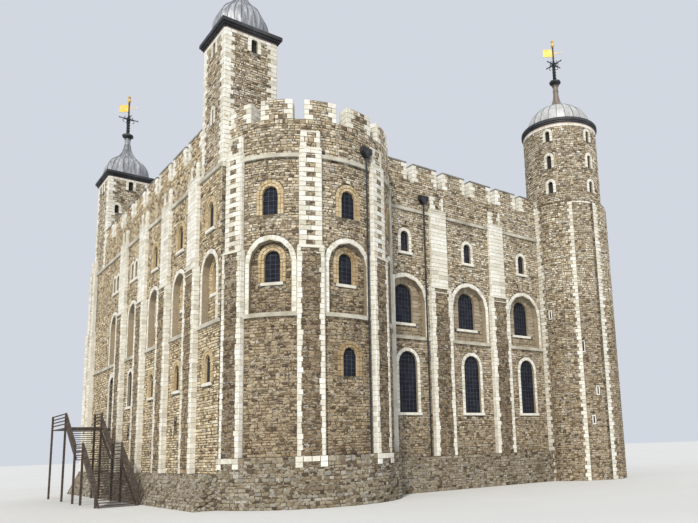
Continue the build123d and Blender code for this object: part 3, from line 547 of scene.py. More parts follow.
def free_spans(u0, u1, v0, v1, shapes):
    """Stretches of a course that no opening or dressing takes."""
    spans = [(u0, u1)]
    for shape in shapes:
        at, width, sill, head = shape[:4]
        if v1 <= sill + outline_slack or v0 >= head - outline_slack:
            continue
        half = width / 2 if len(shape) > 4 else arch_half(shape, max(v0, sill))
        if half <= 0:
            continue
        sides = [(a, min(b, at - half), max(a, at + half), b) for a, b in spans]
        spans = [span for a, low, high, b in sides for span in ((a, low), (high, b)) if span[0] < span[1]]
    return spans


def rough_stone(stones, face, u0, u1, v0, v1, shade):
    """One rubble stone in its own place, a little out of true."""
    slack = min(joint, (u1 - u0) / 4)
    jog = rng.uniform(-stone_jog, stone_jog)
    wobble = [rng.uniform(*stone_wobble) for corner in range(8)]
    corners = (
        (u0 + slack + wobble[0], v0 + slack + wobble[1]),
        (u1 - slack - wobble[2] - abs(jog), v0 + slack + wobble[3]),
        (u1 - slack - wobble[4], v1 - slack - wobble[5] - max(0.0, jog)),
        (u0 + slack + wobble[6], v1 - slack - wobble[7] - max(0.0, -jog)),
    )
    worn = foot_wear if stones.finish == "foot" else 1.0
    stones.block(face, corners, rng.uniform(*rubble_lift) * worn, rubble_bevel, rng.random() * shade)


def lay_rubble(stones, face, u0, u1, v0, v1, shapes=(), coarse=1.0, shade=1.0):
    """Courses of rough stones over a stretch of wall, cut round a list of outlines."""
    v = v0
    while v < v1 - least_course:
        top = v + rng.uniform(*course_heights) * coarse
        if v1 - top < least_height:
            top = v1
        for a, b in free_spans(u0, u1, v, top, shapes):
            u = a
            while u < b - least_stone:
                end = u + rng.uniform(*stone_lengths) * coarse
                if b - end < least_length:
                    end = b
                big = top - v > split_height * coarse and end - u > split_length
                if big and rng.random() < split_share:
                    middle = v + (top - v) * rng.uniform(*split_middle)
                    rough_stone(stones, face, u, end, v, middle + split_overlap, shade)
                    rough_stone(stones, face, u, end, middle - split_overlap, top, shade)
                else:
                    rough_stone(stones, face, u, end, v, top, shade)
                u = end
        v = top


# Small holes in loose rows, each a near-black box of painted shade for its depth, with none cut behind them
putlog_rows = (0.72, 1.03, 1.62, 1.97)
putlog_width = 0.014
putlog_height = 0.012
putlog_drift = (0.04, 0.02)
putlog_clear = (0.02, 0.01)
dark_holes = Blocks("putlog_holes", "leaf")


def hole(face, u, v, width, height):
    """A small hole in the rubble as a near-black box, painted shade for a hole that is not cut, and the
    outline that it takes from the stones.
    """
    dark_holes.box(face, u - width / 2, u + width / 2, v, v + height, -0.0010, 0.0008)
    return (u, width, v, v + height, "box")


def putlogs(face, u0, u1, taken, pitch=0.30):
    """Small holes left in the rubble in loose rows, clear of openings and dressings."""
    found = []
    side, above = putlog_clear
    for index, row in enumerate(putlog_rows):
        u = u0 + pitch * (0.35 + 0.3 * (index % 2))
        while u < u1 - 0.05:
            at, v = [place + rng.uniform(-drift, drift) for place, drift in zip((u, row), putlog_drift)]
            if all(
                abs(at - s[0]) > s[1] / 2 + side or v > s[3] + above or v + putlog_width < s[2] - above
                for s in taken
            ):
                found.append(hole(face, at, v, putlog_width, putlog_height))
            u += pitch
    return found


# Dressed stone

block_lift = 0.0040
block_bevel = 0.0014
block_gap = 0.0006
edge_gap = 0.001
quoin_height = 0.031
quoin_lengths = (0.040, 0.062)
merlon_blocks = (0.050, 0.030)
# Edge of a stage that its blocks alone cover, as a share of its width, and the shade of its rubble
pier_styles = {"panel": (0.10, 0.30), "ladder": (0.16, 0.45), "quoined": (0.16, 0.8)}
# Bands under each set-off: foot and top below it, and how far out
set_off_bands = ((0.052, 0.044, 0.0055), (0.018, 0.009, 0.0085))
pier_ground = Blocks("pilaster_rubble_ground", "ground")


def varied(length):
    return length * rng.uniform(0.9, 1.1)


def white_tone():
    return rng.random() ** 0.7


def block_row(stones, face, u0, u1, v0, v1, lift=block_lift):
    """One dressed block, its ends given in either order."""
    corners = rectangle(min(u0, u1), max(u0, u1), v0, v1)
    stones.block(face, corners, lift, block_bevel, white_tone())


def courses(v0, v1, height=quoin_height):
    """Heights of even courses that fill a stretch."""
    rows = parts(v0, v1, max(1, round((v1 - v0) / height)))
    return [(low + block_gap, high - block_gap) for low, high in rows]


def edged_row(pieces, face, left, inner, outer, right, low, high, shade=1.0):
    """A dressed block at each end of a course, with rubble between them."""
    block_row(pieces["white"], face, left, inner, low, high)
    block_row(pieces["white"], face, outer, right, low, high)
    lay_rubble(pieces["rubble"], face, inner + edge_gap, outer - edge_gap, low, high, shade=shade)


def corner_quoins(stones, face_a, face_b, half, v0, v1):
    """Long and short blocks in turn up an outer corner, on both of its faces."""
    for index, (low, high) in enumerate(courses(v0, v1)):
        for face, edge, reach in ((face_a, half, index % 2), (face_b, -half, 1 - index % 2)):
            length = quoin_lengths[reach] * rng.uniform(0.9, 1.15)
            block_row(stones, face, edge, edge - math.copysign(length, edge), low, high)


def side_face(face, u, side):
    """The face that turns in from a wall's face at a place, looking along the wall either way."""
    if isinstance(face, Drum):
        face, u = face.flat(u), 0.0
    return Flat(face.origin + face.along * u, -side * face.out[:2], side * face.along[:2])


def dress_side(stones, face, u, side, v0, v1, depth):
    """Dressed blocks on the side of a merlon or pilaster, course by course."""
    turned = side_face(face, u, side)
    for low, high in courses(v0, v1):
        split = depth * rng.uniform(0.35, 0.65)
        deep = ((0.0, split - block_gap), (split + block_gap, depth))
        for u0, u1 in deep if depth > 0.05 else ((0.0, depth),):
            block_row(stones, turned, side * u0, side * u1, low, high, 0.0030)


def stages(widths, foot):
    """Width, projection, foot and top of each stage of a pilaster."""
    return list(zip(widths, pier_outs, (foot, *pier_tops), pier_tops))


def dress_pier(pieces, face, centre, widths, foot, middle_style):
    """Dressed blocks and rubble on a pilaster, stage by stage."""
    white = pieces["white"]
    curved = isinstance(face, Drum)
    for (width, out, base, top), style in zip(stages(widths, foot), ("panel", middle_style, "quoined")):
        front = face.moved(out)
        middle = centre * (front.radius / face.radius) if curved else centre
        left, right = middle - width / 2, middle + width / 2
        crown = top - weathering
        if style in pier_styles:
            edge = width * pier_styles[style][0]
            for u0, u1 in parts(left + edge, right - edge, 4):
                pier_ground.box(front, u0, u1, base, crown, -0.0010, 0.0005)
        for index, (low, high) in enumerate(courses(base, crown)):
            if style == "blocks" or (style == "ladder" and index % 2):
                split = middle + rng.uniform(-0.2, 0.2) * width
                block_row(white, front, left, split - block_gap, low, high)
                block_row(white, front, split + block_gap, right, low, high)
                continue
            share = (0.20, 0.32) if index % 2 else (0.32, 0.20)
            if style == "ladder":
                share = (0.30, 0.30)
            elif style == "panel":
                share = [0.13 + 0.08 * rng.random() ** 2 for end in range(2)]
            inner = left + varied(width * share[0])
            outer = right - varied(width * share[1])
            edged_row(pieces, front, left, inner, outer, right, low, high, pier_styles[style][1])
        for way in (-1, 1):
            if curved:
                flat = front.flat(middle, 0.0050)
                dress_side(white, flat, way * width / 2, way, base, crown, out - 0.006)
            else:
                dress_side(white, front, middle + way * width / 2, way, base, crown, out - 0.001)
        if style != "quoined":
            for low, high, lift in set_off_bands:
                corners = rectangle(left - 0.004, right + 0.004, top - low, top - high)
                white.block(front, corners, lift, 0.0010, 0.5, -0.010)


def dress_merlon(pieces, face, left, right):
    """One merlon of a parapet, its front and both its sides."""
    for index, (low, high) in enumerate(courses(sill_level, merlon_top)):
        inner = left + varied(merlon_blocks[index % 2])
        outer = right - varied(merlon_blocks[1 - index % 2])
        edged_row(pieces, face, left, inner, outer, right, low, high)
    for edge, way in ((left, -1), (right, 1)):
        dress_side(pieces["white"], face, edge, way, sill_level, merlon_top, parapet_thickness)


# Windows and recesses

bars = Blocks("glazing_bars", "bars")
bar_width = 0.0018
bar_depth = 0.0016
bar_share = 0.93
pane_edge = 0.001
jamb_reach = 0.003
linings = {"ochre": [], "brown": []}
leaves = []
surround_widths = {"ochre": 0.036, "white": 0.026, "brown": 0.056}
voussoir_gap = 0.012
voussoir_bevel = 0.0006
jamb_height = 0.030
hood_lift = 0.0065
impost = (0.040, 0.008, 0.002, 0.0085)


def arch_ring(stones, face, shape, inner, outer, count, lift=block_lift, back=0.0):
    """Voussoirs round the head of an opening and blocks up its jambs."""
    at, width, sill, head = shape
    springing = head - width / 2
    near, far = width / 2 + inner, width / 2 + outer
    for low, high in parts(0.0, math.pi, count):
        a0, a1 = low + voussoir_gap, high - voussoir_gap
        ends = ((a0, near), (a0, far), (a1, far), (a1, near))
        corners = [(at + r * math.cos(a), springing + r * math.sin(a)) for a, r in ends]
        stones.block(face, corners, lift, voussoir_bevel, white_tone(), back)
    for low, high in courses(sill, springing, jamb_height):
        for side in (-1, 1):
            block_row(stones, face, at + side * near, at + side * far, low, high, lift)


def surround(pieces, face, shape, style):
    """The dressed stones round one window."""
    stones, reach = pieces[style], surround_widths[style]
    if style == "ochre":
        arch_ring(stones, face, shape, reach / 2, reach, 9, hood_lift)
        arch_ring(stones, face, shape, 0.0, 0.017, 7, 0.0030)
        at, width, sill, head = shape
        springing = head - width / 2
        length, below, above, lift = impost
        for side in (-1, 1):
            near, far = at + side * (width / 2 - 0.001), at + side * (width / 2 + length)
            block_row(stones, face, near, far, springing - below, springing + above, lift)
    elif style == "brown":
        arch_ring(stones, face, shape, 0.0, reach, 9, 0.0035)
    else:
        arch_ring(stones, face, shape, 0.0, reach, 7)


def covered(shape, style):
    """The outline that a window and its surround take out of the rubble."""
    at, width, sill, head = shape
    grow = surround_widths[style]
    return (at, width + 2 * grow, sill - 0.020, head + grow)


def thick_sill(stones, face, shape, reach):
    """A dressed sill in two or three stones, standing out under a window."""
    at, width, sill, head = shape
    half = width / 2 + reach
    for u0, u1 in parts(at - half, at + half, 3 if width > 0.12 else 2):
        corners = rectangle(u0 + 0.0004, u1 - 0.0004, sill - 0.019, sill + 0.001)
        stones.block(face, corners, 0.0115, 0.0010, 0.75)


def glazing(face, shape):
    """A lattice of glazing bars over the pane of an opening."""
    at, opening, sill, head = shape
    columns, rows = lattices[shape[1:]]
    half = opening / 2 - pane_edge
    springing = head - opening / 2
    back, front = -glass_depth, -glass_depth + bar_depth
    for index in range(1, columns):
        u = at - half + 2 * half * index / columns
        top = springing + math.sqrt(max(0.0, half ** 2 - (u - at) ** 2)) * bar_share
        bars.box(face, u - bar_width / 2, u + bar_width / 2, sill + pane_edge, top, back, front)
    for index in range(1, rows):
        v = sill + (head - sill) * index / rows
        reach = math.sqrt(max(0.0, half ** 2 - max(0.0, v - springing) ** 2)) * bar_share
        bars.box(face, at - reach, at + reach, v - bar_width / 2, v + bar_width / 2, back, front + 0.0003)


def dress_window(pieces, face, shape, style, sill_reach=0.0):
    """Surround, sill, glazing and lining of one window."""
    surround(pieces, face, shape, style)
    if sill_reach:
        thick_sill(pieces["white"], face, shape, sill_reach)
    glazing(face, shape)
    # All but the ochre windows take the brown lining, dark partly as painted shade on their reveals
    linings["ochre" if style == "ochre" else "brown"].append((face, shape, jamb_reach, -glass_depth))


def lay_recess(stones, back, at, recess, opening, shade=0.75, coarse=1.0):
    """Rubble on the back of an arched recess, round its window, darkened by the shade factor as painted
    shade for the depth of the recess.
    """
    width, sill, head = recess
    v = head - width / 2
    lay_rubble(stones, back, at - width / 2, at + width / 2, sill, v, (opening,), coarse, shade)
    while v < head - 0.012:
        high = v + 0.018
        reach = arch_half((at, *recess), high)
        if reach > 0.02:
            lay_rubble(stones, back, at - reach, at + reach, v, high, (opening,), coarse, shade)
        v = high


def recess_ring(pieces, face, at, recess):
    arch_ring(pieces["white"], face, (at, *recess), 0.0005, ring_width, 17, 0.0062, 0.0040)


def lining(name, places, finish, inset=0.0006):
    """Thin skins on the jambs, sill and arch of openings, from a face in to a depth; the brown ones are
    partly the linings' own brown and partly painted shade on the reveals.
    """
    vertices, quads, tones = [], [], []
    for face, (at, width, sill, head), w0, w1 in places:
        chords = 4 if width < small_arch_width else 6
        half = width / 2 - inset
        springing = head - width / 2
        angles = [math.pi * i / chords for i in range(chords + 1)]
        outline = [(at - half, sill + inset), (at + half, sill + inset)]
        outline += [(at + half * math.cos(a), springing + half * math.sin(a)) for a in angles]
        u, v = np.array(outline).T
        start, count = len(vertices), len(outline)
        for w in (w0, w1):
            vertices += list(face.at(u, v, np.full(count, w)))
        for i in range(count):
            j = (i + 1) % count
            quads.append((start + i, start + j, start + count + j, start + count + i))
        tones += [0.35 + 0.4 * rng.random()] * (2 * count)
    make_mesh(name, vertices, quads, finish, "keep", tones)


# The straight fronts

piece_sets = {}
for side in ("south", "east", "north", "west", "apse", "turret"):
    piece_sets[side] = {
        "rubble": Stones(f"{side}_rubble", "sandy" if side in ("south", "west") else "rubble"),
        "white": Stones(f"{side}_white_stones", "white"),
        "ochre": Stones(f"{side}_ochre_stones", "dull_ochre" if side == "apse" else "ochre"),
        "brown": Stones(f"{side}_brown_stones", "brown"),
    }


def openings(places, window, style="white"):
    """Outline and style of surround of like windows."""
    return [((at, *window), style) for at in places]


twins = [at + side * twin_offset for at in south_bays[3:] for side in (-1, 1)]
plain_bays = {"north": north_bays, "west": west_bays}
faces = {"south": south_face, "east": east_face, "north": north_face, "west": west_face}
# Of each front: its recess, its bays, the windows in its face and those in its recesses
bays_of = {
    "south": (
        south_recess, south_bays,
        openings(south_bays[:3], south_gallery, "ochre") + openings(twins, twin_light)
        + openings(south_bays[:3], south_lower, "ochre") + openings(south_bays[3:4], tall_lower),
        openings(south_bays[:3], south_upper, "ochre") + openings(south_bays[3:], south_upper),
    ),
    "east": (
        east_recess, east_bays,
        openings(east_bays, gallery) + openings(east_bays, east_lower),
        openings(east_bays, east_upper, "brown"),
    ),
}
for side, bays in plain_bays.items():
    flush = openings(bays, gallery) + openings(bays, tall_lower)
    bays_of[side] = (south_recess, bays, flush, openings(bays, south_upper))


def dress_parapet(pieces, face, start, finish, shapes):
    """Rubble under the sills of the crenels, and the merlons, as the frame has them."""
    lay_rubble(pieces["rubble"], face, start, finish, wall_top, sill_level, shapes)
    run = finish - start + crenel_width
    count = max(1, round(run / (merlon_width + crenel_width)))
    pitch = run / count
    width = pitch - crenel_width
    for i in range(count):
        middle = (start + finish) / 2 + (pitch * (i + 0.5) - run / 2)
        dress_merlon(pieces, face, middle - width / 2, middle + width / 2)


def dress_front(side, start, finish, foot, piers, parapet, first_gap=0.0, last_gap=0.0):
    """Everything laid on one straight front of the keep."""
    pieces, face = piece_sets[side], faces[side]
    recess, bays, flush, sunk = bays_of[side]
    shapes = [covered(shape, style) for shape, style in flush]
    ring = recess[0] + 2 * ring_width
    shapes += [(at, ring, recess_foot, recess[2] + ring_width) for at in bays]
    for width, out, low, high in stages(pier_widths, foot):
        shapes += [(at, width, low, high, "box") for at in piers]
    shapes += [((start + finish) / 2, finish - start, low, high, "box") for low, high in strings]
    if side == "south":
        shapes.append((south_bays[4], *doorway_dressing))
        shapes += [(at, *south_slit, "box") for at in (south_bays[1], south_bays[3])]
    laid = (start + first_gap, finish - last_gap)
    shapes += putlogs(face, *laid, shapes)
    lay_rubble(pieces["rubble"], face, *laid, foot, wall_top, shapes)
    dress_parapet(pieces, face, *parapet, shapes)
    for shape, style in flush:
        dress_window(pieces, face, shape, style, 0.030 if side == "east" else 0.022)
    back = face.moved(-recess_depth)
    stones, coarse = (pieces["brown"], 2.0) if side == "east" else (pieces["rubble"], 1.0)
    for shape, style in sunk:
        dress_window(pieces, back, shape, style, 0.022)
        lay_recess(stones, back, shape[0], recess, covered(shape, style), coarse=coarse)
        linings["brown"].append((face, (shape[0], *recess), 0.004, -recess_depth))
        recess_ring(pieces, face, shape[0], recess)


shaft_radius = 0.3453
drum_north = math.sqrt(shaft_radius ** 2 - (y_north - round_y) ** 2)
drum_inner = math.sqrt(shaft_radius ** 2 - (round_out + parapet_thickness) ** 2)
strip_reach = foot_radius + 0.023
east_start, east_finish = apse_y + pier_chord, round_y - strip_reach
north_start = -round_x + drum_north
turret_side = 2 * west_half
end_pier = 0.190
pier_fronts = {
    "south": (south_piers, batter_top), "east": (between(east_bays), plinth_top),
    "north": (between(north_bays), plinth_top), "west": (between(west_bays), plinth_top),
}
runs = {
    "south": (x_west, x_east, (x_west + turret_side, x_east - 2 * southeast_half), end_pier, 0.0),
    "east": (east_start, east_finish, (apse_y + apse_chord, round_y - drum_inner), 0.0, 0.0),
    "north": (north_start, -x_west, (north_start, -x_west - turret_side), 0.0, end_pier),
    "west": (-y_north, -y_south, (-y_north + turret_side, -y_south - turret_side), end_pier, end_pier),
}
for side, (start, finish, parapet, *gaps) in runs.items():
    piers, foot = pier_fronts[side]
    dress_front(side, start, finish, foot, piers, parapet, *gaps)
for side, (piers, foot) in pier_fronts.items():
    for at in piers:
        dress_pier(piece_sets[side], faces[side], at, pier_widths, foot, "blocks")

# Clasping piers at the western corners
clasping = (("south", x_west, 1), ("north", -x_west, -1), ("west", -y_south, -1), ("west", -y_north, 1))
for side, at, direction in clasping:
    for width, out, base, top in stages(pier_widths, pier_fronts[side][1]):
        front = faces[side].moved(out)
        left, right = sorted((at - (direction * out if side != "west" else 0.0), at + direction * width))
        for low, high in courses(base, top - weathering):
            inner = left + (right - left) * rng.uniform(0.3, 0.42)
            outer = right - (right - left) * rng.uniform(0.25, 0.38)
            edged_row(piece_sets[side], front, left, inner, outer, right, low, high)

# Apse
pieces = piece_sets["apse"]
apse_shapes = []
for angle in apse_bays:
    middle = apse_face.arc(angle)
    flat = apse_face.flat(middle)
    back = flat.moved(-recess_depth)
    for window in (south_gallery, south_lower) if angle == apse_bays[1] else (south_gallery,):
        surround(pieces, apse_face, (middle, *window), "ochre")
        glazing(flat, (0, *window))
        linings["ochre"].append((flat, (0, *window), 0.001, -glass_depth))
        apse_shapes.append(covered((middle, *window), "ochre"))
    dress_window(pieces, back, (0, *south_upper), "ochre")
    # Darker in the apse recesses, as painted shade
    lay_recess(pieces["rubble"], back, 0, apse_recess, covered((0, *south_upper), "ochre"), 0.5)
    linings["brown"].append((flat, (0, *apse_recess), -0.010, -recess_depth))
    recess_ring(pieces, apse_face, middle, apse_recess)
    ring = apse_recess[0] + 2 * ring_width
    apse_shapes.append((middle, ring, recess_foot, apse_recess[2] + ring_width))
low_arc, high_arc = apse_face.arc(-90.0), apse_face.arc(apse_end_angle)
apse_shapes += [((low_arc + high_arc) / 2, high_arc - low_arc, low, high, "box") for low, high in strings]
for angle in apse_piers:
    for width, out, low, high in stages(apse_pier_widths, apse_plinth_top):
        apse_shapes.append((apse_face.arc(angle), width, low, high, "box"))
apse_shapes += putlogs(apse_face, apse_face.arc(-60.0), apse_face.arc(60.0), apse_shapes, 0.22)
apse_shapes.append(hole(apse_face, apse_face.arc(apse_piers[1]) + 0.078, 2.092, 0.020, 0.022))
# The lower part of its wall is the darker one
dark_top = 1.600
for low, high, shade in ((apse_plinth_top, dark_top, 0.66), (dark_top, sill_level, 0.92)):
    lay_rubble(pieces["rubble"], apse_face, -high_arc, high_arc, low, high, apse_shapes, shade=shade)
dressed_piers = apse_piers[:3]
for angle in dressed_piers:
    dress_pier(pieces, apse_face, apse_face.arc(angle), apse_pier_widths, apse_plinth_top, "ladder")
apse_crenels = 6
apse_crenel_width = 0.074
first_merlon = -70.5
merlon_pitch = 26.5
crenels = [first_merlon + merlon_pitch * (i + 0.5) for i in range(apse_crenels)]
merlon_edges = [-apse_end_angle, *crenels, apse_end_angle]
gap_half = math.degrees(apse_crenel_width / 2 / apse_radius)
for index, (a, b) in enumerate(zip(merlon_edges, merlon_edges[1:])):
    left = apse_face.arc(a + (gap_half if index else 0))
    right = apse_face.arc(b - (gap_half if index < apse_crenels else 0))
    dress_merlon(pieces, apse_face, left, right)

# Stones of the battered foot, and of the plinths, which stand on cores of their own
core_out = plinth_out - 0.0052
foot_coarse = 1.15
foot_stones = Stones("foot_stones", "foot")
batter = Slope(south_face.moved(batter_reach), (batter_reach - pier_outs[0]) / batter_top)
lay_rubble(foot_stones, batter, x_west - plinth_out, x_east, 0.0, batter_top - 0.01, (), foot_coarse)
plinth_start = apse_y + math.sqrt((apse_radius + plinth_out) ** 2 - apse_inset ** 2)
plinth_runs = {
    "east": (plinth_start, east_finish),
    "north": (north_start, -x_west + core_out),
    "west": (-y_north, -y_south),
}
for side, (start, finish) in plinth_runs.items():
    core = Blocks(f"{side}_plinth_core", "ground")
    core.box(faces[side], start, finish, 0.0, plinth_top, 0.0, core_out)
    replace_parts(core.finish_piece(), f"{side}_plinth")
    face = faces[side].moved(core_out)
    lay_rubble(foot_stones, face, start, finish, 0.0, plinth_top - 0.001, (), foot_coarse)
apse_core = Blocks("apse_plinth_core", "ground")
core_end = 77.8
for a, b in parts(-core_end, core_end, 44):
    apse_core.box(apse_face, apse_face.arc(a), apse_face.arc(b), 0.0, apse_plinth_top, 0.0, core_out)
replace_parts(apse_core.finish_piece(), "apse_plinth")
apse_foot = apse_face.moved(core_out)
feet_low = apse_plinth_top - 0.062
pier_feet = [(apse_foot.arc(angle), 0.182, feet_low, apse_plinth_top, "box") for angle in dressed_piers]
ends = apse_foot.arc(78.0)
lay_rubble(foot_stones, apse_foot, -ends, ends, 0.0, apse_plinth_top - 0.001, pier_feet, foot_coarse)
foot_blocks = ((-0.090, -0.048), (-0.046, 0.0), (0.002, 0.046), (0.048, 0.090))
for index, (low, high) in enumerate(courses(feet_low, apse_plinth_top)):
    for angle in dressed_piers:
        middle = apse_foot.arc(angle)
        for part, (u0, u1) in enumerate(foot_blocks):
            if index == 0 and part in (1, 2):
                lay_rubble(foot_stones, apse_foot, middle + u0, middle + u1, low, high, (), 0.8, 0.6)
            else:
                block_row(pieces["white"], apse_foot, middle + u0, middle + u1 - edge_gap, low, high)
foot_stones.finish_piece()

# Round turret: strips, slits, and the panels between the strips of a pair, which stand out nearly as far
pieces = piece_sets["turret"]
strip_half = 0.0625
strip_angles = (-94.0, -50.0, 0.0, 50.0)
panel_face = Drum(round_x, round_y, strip_radius - 0.0022)
panels = ((-86.0, -58.5), (8.5, 41.5))
panel_middles = (-72.0, 25.0)
panel_width = math.radians(36.0) * foot_radius
foot_shapes = [(foot_face.arc(angle), 2 * strip_half, 0.0, drum_ledge, "box") for angle in strip_angles]
foot_shapes += [(foot_face.arc(angle), panel_width, 0.0, drum_ledge, "box") for angle in panel_middles]
panel_shapes = []
# Face, angle, foot and height of each slit
slits = (
    (panel_face, -80.0, 1.36, 0.06), (foot_face, -38.0, 1.06, 0.08),
    (foot_face, -21.0, 0.70, 0.06), (foot_face, -30.0, 0.46, 0.055),
)
slit_inner, slit_outer, slit_width, slit_cap = 0.0065, 0.0165, 0.012, 0.011
# Each slit is a near-black box of painted shade, with no opening cut behind it
for face, angle, low, height in slits:
    middle = face.arc(angle)
    at, width, low, high, kind = hole(face, middle, low, slit_width, height)
    taken = (at, width + 0.034, low - slit_width, high + slit_width, kind)
    (panel_shapes if face is panel_face else foot_shapes).append(taken)
    for side in (-1, 1):
        block_row(pieces["white"], face, middle + side * slit_inner, middle + side * slit_outer, low, high)
    for v0, v1 in ((low - slit_cap, low - block_gap), (high + block_gap, high + slit_cap)):
        block_row(pieces["white"], face, middle - slit_outer, middle + slit_outer, v0, v1)
panel_shapes.append(hole(panel_face, panel_face.arc(-78.0), 1.22, 0.016, 0.014))
panel_core = Blocks("turret_panel_cores", "ground")
for start, finish in (map(panel_face.arc, panel) for panel in panels):
    for a, b in parts(start, finish, 6):
        panel_core.box(panel_face, a, b, 0.0, drum_ledge - 0.0005, -0.0170, 0.0)
    lay_rubble(pieces["rubble"], panel_face, start, finish, 0.0, drum_ledge - 0.013, panel_shapes)
panel_core.finish_piece()


def light(face, shape, flat, flat_shape, reach):
    """Surround, lining and leaf of a turret light, and the outline that it takes."""
    surround(pieces, face, shape, "white")
    linings["brown"].append((flat, flat_shape, reach, -leaf_depth))
    leaves.append((flat, flat_shape))
    return covered(shape, "white")


def block_band(face, reach, count, v0, v1, gap=0.0005, lift=block_lift):
    """Like dressed blocks in a row on a turret, as far to one side of its middle as to the other."""
    for a, b in parts(-reach, reach, count):
        block_row(pieces["white"], face, a + gap, b - gap, v0 + block_gap, v1 - block_gap, lift)


band_height = 0.030
drum_shapes = []
for angle in round_light_angles:
    at = drum_face.arc(angle)
    for window in round_lights:
        drum_shapes.append(light(drum_face, (at, *window), drum_face.flat(at), (0, *window), 0.001))
for face, start, finish, foot, top, shapes in (
    (foot_face, -88.0, 120.0, 0.0, wall_top, foot_shapes),
    (foot_face, -180.0, 180.0, wall_top, drum_ledge, foot_shapes),
    (drum_face, -180.0, 180.0, drum_ledge + 0.001, drum_top - band_height, drum_shapes),
):
    lay_rubble(pieces["rubble"], face, face.arc(start), face.arc(finish), foot, top, shapes)
half_way = drum_face.arc(180.0)
block_band(drum_face, half_way, 40, drum_top - band_height, drum_top)
for angle in strip_angles:
    strip = radial_face(round_x, round_y, angle, strip_radius)
    left = -strip_half if angle > -90 else -0.015
    for row, (low, high) in enumerate(courses(0.0, drum_ledge - 0.012)):
        inner = left + varied((0.058, 0.040)[row % 2])
        outer = strip_half - varied((0.030, 0.044)[row % 2])
        if angle in (-94.0, 0.0):
            block_row(pieces["white"], strip, left, inner, low, high)
            lay_rubble(pieces["rubble"], strip, inner + edge_gap, strip_half, low, high)
        else:
            lay_rubble(pieces["rubble"], strip, left, outer - edge_gap, low, high)
            block_row(pieces["white"], strip, outer, strip_half, low, high)
ledge_foot = drum_ledge - 0.014 - block_gap
block_band(foot_face, foot_face.arc(100.0), 48, ledge_foot, drum_ledge + block_gap, 0.0004, 0.006)

# Square turrets
square_turret_rubble = Stones("square_turret_rubble", "rubble")
band_foot = turret_top - 0.026
rubble_foot = 2.00
southeast_light_off = 0.020
low_light_off = 0.120
for corner, (cx, cy, half) in square_turrets.items():
    turret_faces = {angle: radial_face(cx, cy, angle, half) for angle in (-90, 0, 90, 180)}
    for angle, face in turret_faces.items():
        windows = [(southeast_light_off if (corner, angle) == ("southeast", 0) else 0.0, *turret_top_light)]
        if corner == "southeast" and angle == -90:
            windows.append((0, *turret_slit))
        if corner != "southeast" and angle in (0, 180):
            windows.append((-low_light_off, *turret_low_light))
        shapes = [light(face, window, face, window, jamb_reach) for window in windows]
        foot = wall_top if angle in outer_sides[corner] else rubble_foot
        lay_rubble(square_turret_rubble, face, -half, half, foot, band_foot, shapes)
        block_band(face, half, 9, band_foot, turret_top)
    for a, b in ((-90, 0), (0, 90), (90, 180), (180, -90)):
        corner_quoins(pieces["white"], turret_faces[a], turret_faces[b], half, wall_top, band_foot)

for pieces in piece_sets.values():
    for stones in pieces.values():
        stones.finish_piece()
for stones in (square_turret_rubble, bars, dark_holes, pier_ground):
    stones.finish_piece()
for finish, places in linings.items():
    lining(f"{finish}_window_linings", places, finish)

# Leaves in the turret lights, stepped in under their arches
leaf_steps = ((0.0, 0.45), (0.45, 0.75), (0.75, 0.95))
leaf_piece = Blocks("turret_leaves", "leaf")
leaf_face, leaf_back = -leaf_depth, -leaf_depth - 0.003
for face, (at, width, sill, head) in leaves:
    half = width / 2
    springing = head - half
    reach = half - 0.001
    leaf_piece.box(face, at - reach, at + reach, sill + 0.001, springing, leaf_back, leaf_face)
    for start, finish in leaf_steps:
        low, high = springing + half * start, springing + half * finish
        reach = math.sqrt(max(0.0, half ** 2 - (low + (high - low) * 0.8 - springing) ** 2)) - 0.001
        leaf_piece.box(face, at - reach, at + reach, low, high, leaf_back, leaf_face)
leaf_piece.finish_piece()


# Lead cupolas: true curves over the frame's chords, with rolls over the joints of the lead

def bend(x0, z0, x1, z1, turn, steps=12):
    """Points on a bend that leaves one point upright and turns by an angle on its way to another."""
    sweep = math.radians(turn)
    points = []
    for step in range(steps + 1):
        a = sweep * step / steps
        inward = (1 - math.cos(a)) / (1 - math.cos(sweep))
        points.append((x0 + (x1 - x0) * inward, z0 + (z1 - z0) * math.sin(a) / math.sin(sweep)))
    return points


def turned(cx, cy, base, profile, sides, first=0.0):
    """Rings of points round an upright axis, from radii and heights over a base."""
    angles = [first + 2 * math.pi * k / sides for k in range(sides)]
    return [[(cx + r * math.cos(a), cy + r * math.sin(a), base + z) for a in angles] for r, z in profile]


class Shell:
    """Points and quads gathered into one piece."""

    def __init__(self, name, finish, body="keep"):
        self.name, self.finish, self.body = name, finish, body
        self.vertices, self.quads = [], []

    def grid(self, rows, closed=True):
        """Quads between rows of points of equal length."""
        start, count = len(self.vertices), len(rows[0])
        for row in rows:
            self.vertices += row
        for i in range(len(rows) - 1):
            below, above = start + i * count, start + (i + 1) * count
            for j in range(count if closed else count - 1):
                k = (j + 1) % count
                self.quads.append((below + j, below + k, above + k, above + j))

    def tube(self, path, radius, sides=5):
        """A bar along a path of points, thinning where a list of radii says so."""
        rows = []
        points = [Vector(point) for point in path]
        for index, point in enumerate(points):
            ahead = (points[min(index + 1, len(points) - 1)] - points[max(index - 1, 0)]).normalized()
            side = ahead.cross(Vector((0, 0, 1)) if abs(ahead.z) < 0.95 else Vector((1, 0, 0))).normalized()
            rise = side.cross(ahead)
            r = radius[index] if isinstance(radius, tuple) else radius
            angles = (2 * math.pi * k / sides for k in range(sides))
            rows.append([point + (side * math.cos(a) + rise * math.sin(a)) * r for a in angles])
        self.grid(rows)

    def finish_piece(self):
        return make_mesh(self.name, self.vertices, self.quads, self.finish, self.body)


def upward(z):
    return Vector((0, 0, z))


